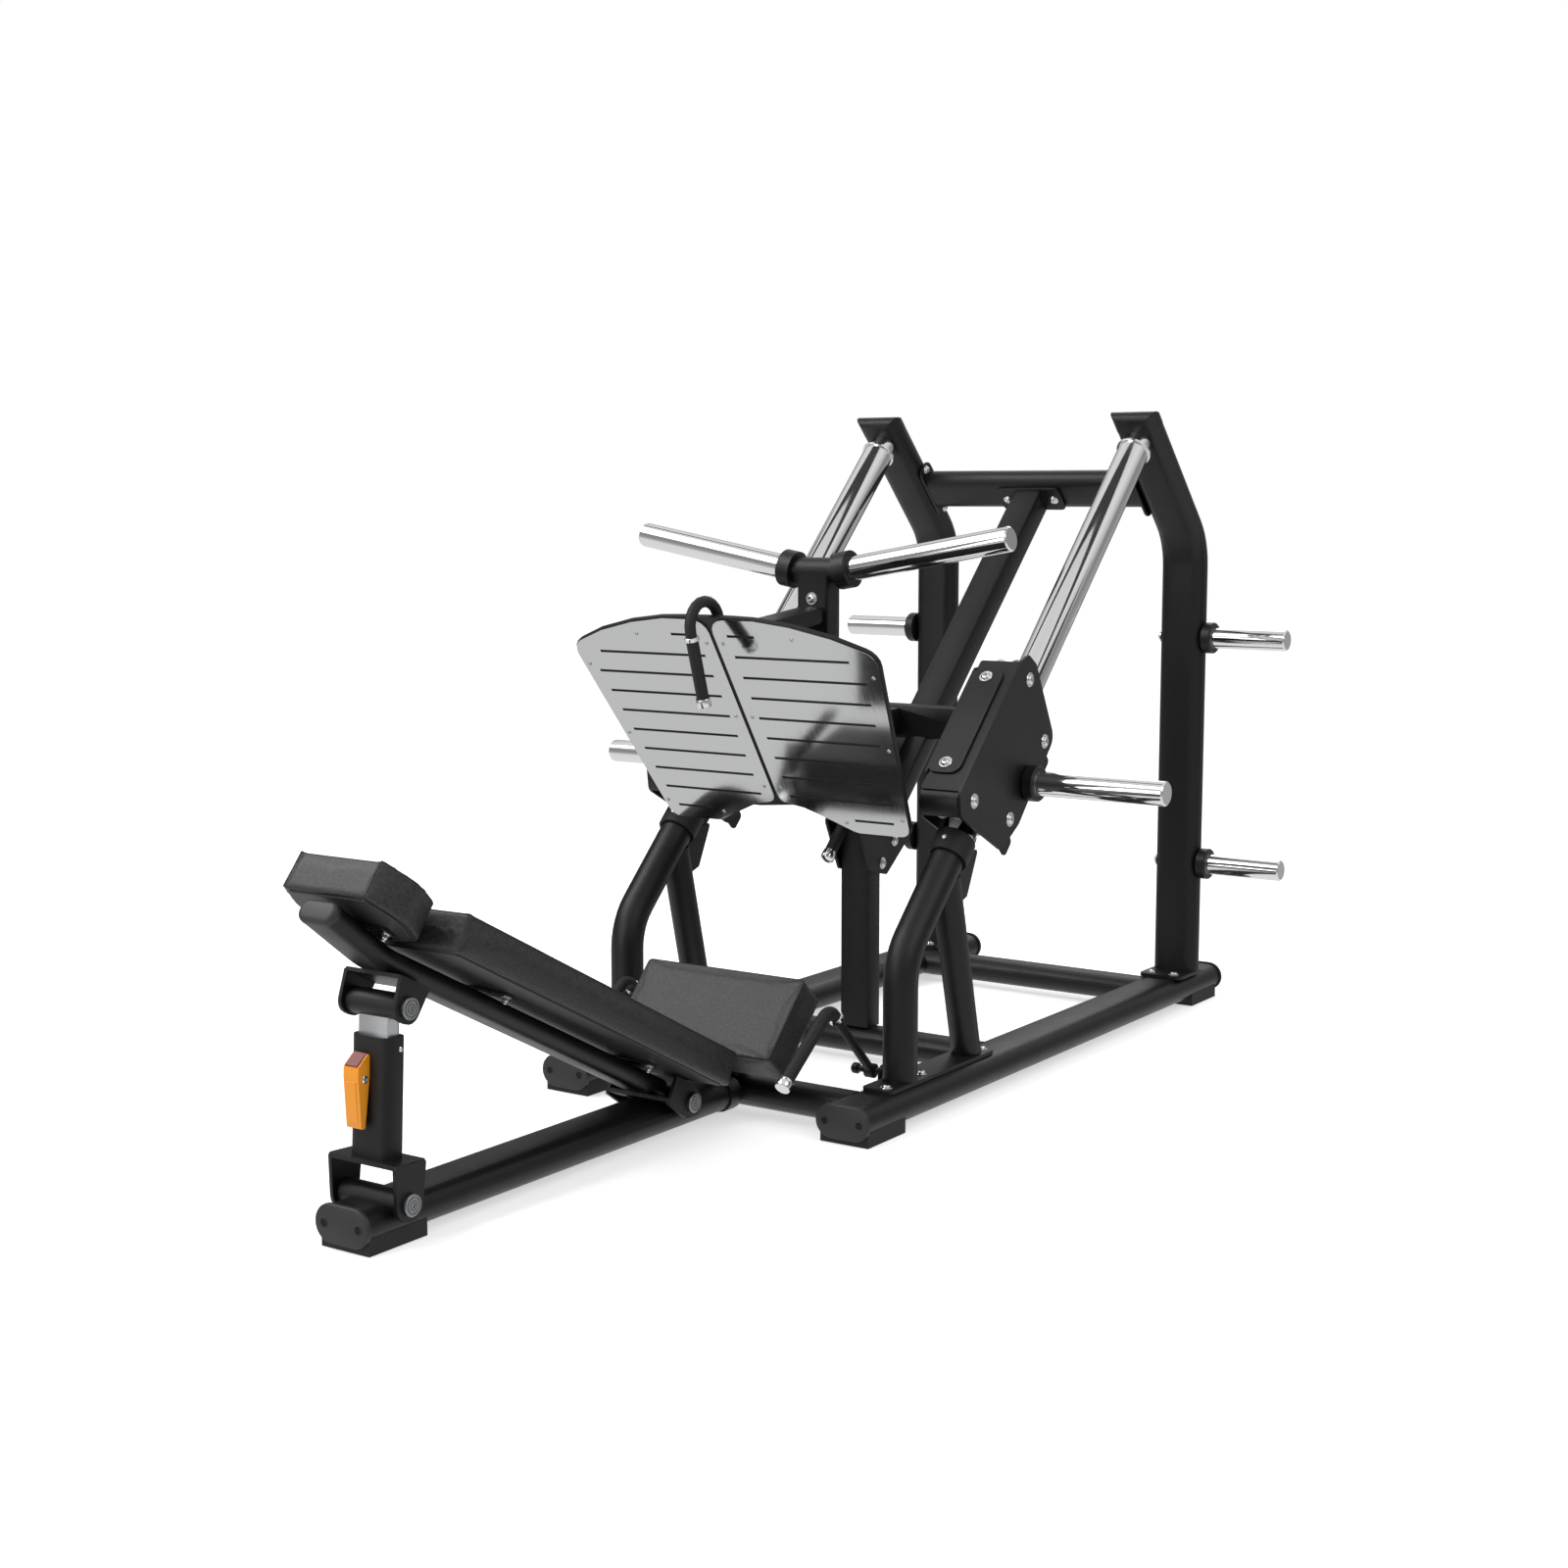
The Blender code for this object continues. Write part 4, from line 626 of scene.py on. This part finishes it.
def back_tube_cap():
    """The rounded plastic cap in the backrest tube's upper end."""
    mesh_data = bmesh.new()
    rings = []
    dome, lip = 0.0100, 0.0015
    turns = [math.pi / 2 * step / 5 for step in range(6)]
    shape = [(-0.002, 0.0)] + [(lip + dome * math.sin(a), -0.0095 * (1 - math.cos(a))) for a in turns]
    for reach, inset in shape:
        outline = rounded(BACK_TUBE[0] + 0.001 + 2 * inset, BACK_TUBE[1] + 0.001 + 2 * inset,
                          BACK_TUBE[1] / 2 + 0.0005 + inset, 8)
        rings.append([mesh_data.verts.new(head(HEAD_TUBE + reach, p.y, p.x)) for p in outline])
    skin(mesh_data, rings)
    piece("backrest_tube_cap", mesh_data, BLACK_PLASTIC, "backrest", sharp=50)


def housing_trim(label, side):
    """The rubber wipers behind two rollers and the curved cover at a housing's foot."""
    inner, outer = sorted((side * (HOUSING_X[0] + HOUSING_SHEET), side * (HOUSING_X[1] - HOUSING_SHEET)))
    tabs = bmesh.new()
    for s, n in WIPER_PLACES:
        outline = [Vector((s + p.x, n + p.y)) for p in rounded(*WIPER)]
        for x_from, x_to in ((inner, inner + WIPER_THICK), (outer - WIPER_THICK, outer)):
            slab(outline, lambda p: slope(p.x, p.y), x_from, x_to, X, tabs)
    piece(f"{label}_rail_wipers", tabs, MATERIALS["black_rubber"], "sled", edge=0.0012)
    turns = [math.pi / 2 * step / 8 for step in range(9)]
    bend = [Vector((FOOT_COVER_S - FOOT_COVER_RUN * math.sin(a),
                    HOUSING_FRONT_N - 0.0042 - FOOT_COVER_DROP * (1 - math.cos(a)))) for a in turns]
    outline = bend + [p - Vector((-0.003, 0.003)) for p in reversed(bend)]
    piece(f"{label}_housing_foot_cover", slab(outline, lambda p: slope(p.x, p.y), inner, outer, X),
          MATERIALS["black_powder_coat"], "sled", edge=0.0005)


def pivot_discs():
    """Turned discs with rings and a centre mark over the ends of the pivot pins."""
    for name, pivot, ear, body in (("backrest_hinge", BACK_PIVOT, LOWER_EAR_X, "backrest"),
                                   ("strut_upper", CLEVIS_PIVOT, UPPER_EAR_X, "backrest"),
                                   ("strut_lower", STRUT_PIVOT, LOWER_EAR_X, "strut_sleeve")):
        mesh_data = bmesh.new()
        for side in (1, -1):
            turned(DISC_RINGS, at(side * ear, *pivot), X * side, 40, mesh_data=mesh_data, socket=1)
        piece(f"{name}_discs", mesh_data, MATERIALS["turned_steel"], body, sharp=25)


# Handles ------------------------------------------------------------------------------
def chrome_ends(name, body, tip, towards, radius, ring=None, ring_along=None, length=0.020):
    """A grip's chromed end cap, and the ring at its other end."""
    mesh_data = bmesh.new()
    profile = ((0.0, radius - 0.0024), (0.0008, radius - 0.0008), (0.0022, radius),
               (length - 0.0012, radius), (length, radius - 0.0010), (length, radius - 0.0030))
    turned(profile, tip - towards * 0.0012, towards, 28, mesh_data=mesh_data)
    if ring is not None:
        profile = ((-0.0046, radius - 0.0012), (-0.0036, radius), (0.0036, radius),
                   (0.0046, radius - 0.0012), (0.0046, radius - 0.004), (-0.0046, radius - 0.004))
        turned(profile, ring, ring_along, 28, closed=True, mesh_data=mesh_data)
    piece(name, mesh_data, MATERIALS["bright_chrome"], body, sharp=40)


def handles():
    tip, ring = at(0, *HOOK_TIP), at(0, *HOOK_RING)
    rise = (ring - tip).normalized()
    chrome_ends("hook_handle_chrome", "hook_handle", tip, rise, HANDLE_RADIUS + 0.0010, ring, rise, 0.018)
    for label, side in SIDES:
        hub, bend, tip = (at(side * LEVER_X, *place) for place in (LEVER_HUB, LEVER_BEND, LEVER_TIP))
        rise = (bend - hub).normalized()
        chrome_ends(f"{label}_side_lever_chrome", f"{label}_side_lever", tip, (bend - tip).normalized(),
                    HANDLE_RADIUS + 0.0024, hub + rise * LEVER_RING, rise)
    hub, tip = at(0, *STOP_HUB), at(0, *STOP_TIP)
    chrome_ends("stop_lever_chrome", "stop_lever", tip, (hub - tip).normalized(), HANDLE_RADIUS + 0.0018)


def latch():
    """The latch lever's red inset and raised face, its pivot screw and the strut's."""
    piece("latch_insert", slab(LATCH_INSET, lambda p: on_strut(p[0], -p[1]), -0.0255, 0.0015, X), RED,
          "latch_lever", edge=0.0006)
    piece("latch_face", slab(LATCH_FACE, lambda p: on_strut(p[0], -p[1]), -0.0225, -0.0015, X),
          MATERIALS["orange_plastic"], "latch_lever", edge=0.0012)
    fasten("latch_screw", "latch_lever", [(on_strut(0.199, -0.0345, 0.0045), X)], kind=screw, radius=0.0065)
    fasten("strut_screw", "strut_sleeve", [(on_strut(0.248, 0.006, 0.0430), X)], kind=screw, radius=0.0045)


# Pads ---------------------------------------------------------------------------------
def foam(name, outline, place, low, high, off, body, cad_node, cap, voxel):
    """A pad of foam in a sewn cover: a block, remeshed and blown up a little as cloth.

    The face at low lies on the pad's board, so it's pinned there.  No point moves by more
    than cap, which keeps the cover tight.
    """
    mesh_data = slab(outline, place, low, high, off)
    bmesh.ops.recalc_face_normals(mesh_data, faces=mesh_data.faces)
    mesh = bpy.data.meshes.new(name)
    mesh_data.to_mesh(mesh)
    mesh_data.free()
    pad = bpy.data.objects.new(name, mesh)
    bpy.context.scene.collection.objects.link(pad)
    mesh.materials.append(MATERIALS["grey_vinyl"])
    remesh = pad.modifiers.new("grid", "REMESH")
    remesh.mode = "VOXEL"
    remesh.voxel_size = voxel
    bake(pad)
    mesh = pad.data
    base = place(Vector((0, 0))).dot(off) + low
    pinned = [v.index for v in mesh.vertices if v.co.dot(off) < base + voxel * 0.8]
    group = pad.vertex_groups.new(name="board")
    group.add(pinned, 1.0, "REPLACE")
    rest = [v.co.copy() for v in mesh.vertices]
    cloth = pad.modifiers.new("cover", "CLOTH")
    cloth.settings.quality = 5
    cloth.settings.mass = 0.3
    cloth.settings.tension_stiffness = 15
    cloth.settings.compression_stiffness = 15
    cloth.settings.shear_stiffness = 5
    cloth.settings.bending_stiffness = 0.5
    cloth.settings.use_pressure = True
    cloth.settings.uniform_pressure_force = COVER_PRESSURE
    cloth.settings.vertex_group_mass = "board"
    cloth.settings.effector_weights.gravity = 0.0
    for step in range(1, COVER_STEPS + 1):
        bpy.context.scene.frame_set(step)
    bake(pad)
    bpy.context.scene.frame_set(1)
    mesh = pad.data
    for vertex, start in zip(mesh.vertices, rest):
        move = vertex.co - start
        if move.length > 1e-7:
            vertex.co = start + move * (cap * math.tanh(move.length / cap) / move.length)
    smooth = pad.modifiers.new("smooth", "SUBSURF")
    smooth.levels = 1
    smooth.render_levels = 1
    bake(pad)
    pad.data.shade_smooth()
    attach(pad, body)
    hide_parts(cad_node)
    return pad


def bake(thing):
    """Put the modifiers' result into the object's own mesh."""
    graph = bpy.context.evaluated_depsgraph_get()
    made = bpy.data.meshes.new_from_object(thing.evaluated_get(graph), depsgraph=graph)
    thing.modifiers.clear()
    thing.data = made


def seam(name, pad, path, body, loop=True):
    """A sewn seam: a fine ridge on the pad's surface along a path near it."""
    tree = BVHTree.FromPolygons([v.co for v in pad.data.vertices], [p.vertices for p in pad.data.polygons])
    spots = []
    ends = list(zip(path, path[1:] + path[:1])) if loop else list(zip(path, path[1:]))
    for start, end in ends:
        count = max(1, round((end - start).length / SEAM_STEP))
        spots += [start.lerp(end, k / count) for k in range(count)]
    if not loop:
        spots.append(path[-1])
    snapped = [tree.find_nearest(spot)[0] for spot in spots]
    return tube(name, snapped, SEAM_RADIUS, STITCH, body, loop=loop)


def board(name, outline, place, low, high, off, body):
    """The board that a pad is upholstered on."""
    piece(name, slab(outline, place, low, high, off), BLACK_PLASTIC, body, edge=0.0012)


def back_pad():
    width, low, high = BACK_PAD
    middle = (low + high) / 2

    def place(point):
        return back(middle + point.y, 0, point.x)

    length = high - low
    top = PAD_LOW + PAD_THICK - SKIN
    outline = rounded(width - 2 * SKIN, length - 2 * SKIN, 0.008, 3)
    pad = foam("back_cushion", outline, place, PAD_LOW + SKIN, top, OFF_BACK, "backrest", "back_pad",
               cap=0.0014, voxel=0.005)
    rim = [place(p) + OFF_BACK * (top - 0.002) for p in rounded(width - 0.004, length - 0.004, 0.008, 3)]
    seam("back_cushion_seam", pad, rim, "backrest")
    board("back_pad_board", rounded(width - BOARD_INSET, length - BOARD_INSET, 0.008, 3), place,
          PAD_LOW - BOARD_DROP, PAD_LOW + BOARD, OFF_BACK, "backrest")
    brackets(back, OFF_BACK, BACK_TABS_T, "back_pad", PAD_LOW - BOARD_DROP)


def head_pad():
    half = filleted(HEAD_HALF)
    outline = half + [Vector((-p.x, p.y)) for p in reversed(half) if p.x > 1e-6]

    def place(point):
        return head(HEAD_ORIGIN_T - point.y, 0, point.x)

    top = HEAD_LOW + PAD_THICK - SKIN
    pad = foam("head_cushion", outline, place, HEAD_LOW + SKIN, top, OFF_HEAD, "backrest", "head_pad",
               cap=0.0011, voxel=0.004)
    seam("head_cushion_seam", pad, [place(p) + OFF_HEAD * (top - 0.002) for p in outline], "backrest")
    for label, side in (("right", 1), ("left", -1)):
        corner = place(Vector((side * HEAD_CORNER[0], HEAD_CORNER[1])))
        edge = [corner + OFF_HEAD * height for height in (HEAD_LOW + 0.003, top - 0.003)]
        seam(f"head_cushion_edge_{label}", pad, edge, "backrest", loop=False)
    inner = [Vector((p.x * 0.90, 0.008 + p.y * 0.88)) for p in outline]
    board("head_pad_board", inner, place, HEAD_LOW - BOARD_DROP, HEAD_LOW + BOARD, OFF_HEAD, "backrest")
    brackets(head, OFF_HEAD, HEAD_TABS_T, "head_pad", HEAD_LOW - BOARD_DROP)


def brackets(place, off, stations, name, under):
    """Cross tabs on the backrest tube, bolted up into a pad's board."""
    tabs, bolts = bmesh.new(), []
    outline = rounded(*TAB)
    top = under - 0.0004
    bottom = top - TAB_THICK
    for t in stations:
        slab(outline, lambda p: place(t + p.y, 0, p.x), bottom, top, off, tabs)
        bolts += [(place(t, bottom, x), -off) for x in (-TAB_BOLT_X, TAB_BOLT_X)]
    piece(f"{name}_tabs", tabs, MATERIALS["black_powder_coat"], "backrest",
          edge=0.0008)
    fasten(f"{name}_studs", "backrest", bolts, kind=stud)


def seat_pad():
    slant = (SEAT_REAR - SEAT_FRONT).normalized()
    off = Vector((-slant.y, slant.x))
    length = (SEAT_REAR - SEAT_FRONT).length
    middle = (SEAT_FRONT + SEAT_REAR) / 2
    out = Vector((0, off.x, off.y))

    def place(point):
        spot = middle + slant * point.y
        return at(point.x, spot.x, spot.y)

    width = 2 * SEAT_HALF
    outline = rounded(width - 2 * SKIN, length - 2 * SKIN, 0.006, 3)
    pad = foam("seat_cushion", outline, place, SKIN - SEAT_THICK, -SKIN, out, "frame", "seat_pad",
               cap=0.0014, voxel=0.004)
    rim = [place(p) - out * 0.004 for p in rounded(width - 0.004, length - 0.004, 0.006, 3)]
    seam("seat_cushion_seam", pad, rim, "frame")
    board("seat_pad_board", rounded(width - BOARD_INSET, length - BOARD_INSET, 0.006, 3), place,
          -0.001 - SEAT_THICK, BOARD - SEAT_THICK, out, "frame")


# Studio -------------------------------------------------------------------------------
def floor_and_flags():
    """A white floor, and dark sheets that only the chrome and steel see."""
    floor_data = bmesh.new()
    for x, y in ((-1, -1), (1, -1), (1, 1), (-1, 1)):
        floor_data.verts.new((x * FLOOR_HALF, y * FLOOR_HALF, -0.0005))
    floor_data.faces.new(floor_data.verts)
    mesh = bpy.data.meshes.new("floor")
    floor_data.to_mesh(mesh)
    floor_data.free()
    floor = bpy.data.objects.new("floor", mesh)
    bpy.context.scene.collection.objects.link(floor)
    ground = finish("floor", (0.86, 0.86, 0.86), 0.65, specular=0.2)
    shader = ground.node_tree.nodes["Principled BSDF"]
    shader.inputs["Emission Color"].default_value = (1, 1, 1, 1)
    shader.inputs["Emission Strength"].default_value = 0.55
    mesh.materials.append(ground)
    floor.visible_diffuse = False
    floor.visible_glossy = False

    dark = finish("flag", (0.07, 0.07, 0.07), 0.9, specular=0.0)
    for name, place, size, turn in FLAGS:
        bpy.ops.mesh.primitive_plane_add(size=1, location=place, rotation=turn)
        flag = bpy.context.object
        flag.name = name
        flag.scale = (size[0], size[1], 1)
        flag.data.materials.append(dark)
        flag.visible_camera = False
        flag.visible_shadow = False
        flag.visible_diffuse = False


def room():
    """A grey room by height for reflections; the camera sees plain white behind all."""
    world = bpy.data.worlds.new("studio")
    bpy.context.scene.world = world
    world.use_nodes = True
    tree = world.node_tree
    walls = tree.nodes["Background"]
    walls.inputs["Strength"].default_value = 1.0
    place = tree.nodes.new("ShaderNodeTexCoord")
    height = tree.nodes.new("ShaderNodeSeparateXYZ")
    link(tree, place, "Generated", height, "Vector")
    ramp = tree.nodes.new("ShaderNodeValToRGB")
    for element in list(ramp.color_ramp.elements)[1:]:
        ramp.color_ramp.elements.remove(element)
    ramp.color_ramp.elements[0].position = 0.0
    ramp.color_ramp.elements[0].color = (0.88, 0.88, 0.88, 1)
    for position, grey in ROOM_GREYS:
        ramp.color_ramp.elements.new(position).color = (grey, grey, grey, 1)
    lift = tree.nodes.new("ShaderNodeMapRange")
    lift.inputs["From Min"].default_value = -1.0
    lift.inputs["From Max"].default_value = 1.0
    link(tree, height, "Z", lift, "Value")
    link(tree, lift, "Result", ramp, "Fac")
    link(tree, ramp, "Color", walls, "Color")
    backdrop = tree.nodes.new("ShaderNodeBackground")
    backdrop.inputs["Color"].default_value = (1, 1, 1, 1)
    seen = tree.nodes.new("ShaderNodeLightPath")
    mix = tree.nodes.new("ShaderNodeMixShader")
    link(tree, seen, "Is Camera Ray", mix, "Fac")
    tree.links.new(walls.outputs["Background"], mix.inputs[1])
    tree.links.new(backdrop.outputs["Background"], mix.inputs[2])
    link(tree, mix, "Shader", tree.nodes["World Output"], "Surface")
    bpy.context.scene.view_settings.view_transform = "Standard"


def lamps_and_camera():
    """Soft lamps, and the camera solved from the photo's perspective."""
    for name, place, aim, size, power in LAMPS:
        lamp = bpy.data.lights.new(name, "AREA")
        lamp.size = size
        lamp.energy = power
        holder = bpy.data.objects.new(name, lamp)
        bpy.context.scene.collection.objects.link(holder)
        holder.location = place
        holder.rotation_euler = (Vector(aim) - Vector(place)).to_track_quat("-Z", "Y").to_euler()

    lens = bpy.data.cameras.new("camera")
    lens.lens = LENS_MM
    lens.sensor_width = SENSOR_MM
    camera = bpy.data.objects.new("camera", lens)
    bpy.context.scene.collection.objects.link(camera)
    camera.location = CAMERA_PLACE
    camera.rotation_euler = (CAMERA_TILT, 0, CAMERA_TURN)
    bpy.context.scene.camera = camera


cad_finishes()
frame_bolts()
sled_bolts()
end_cap("centre_beam_cap", 0, CENTRE_FRONT_Y, -1)
for name_side, sign in SIDES:
    end_cap(f"{name_side}_front_beam_cap", sign * SIDE_X, SIDE_FRONT_Y, -1)
    end_cap(f"{name_side}_rear_beam_cap", sign * SIDE_X, SIDE_REAR_Y, 1)
    top_cap(name_side, sign)
    housing_trim(name_side, sign)
back_tube_cap()
pivot_discs()
handles()
latch()
back_pad()
head_pad()
seat_pad()
floor_and_flags()
room()
lamps_and_camera()
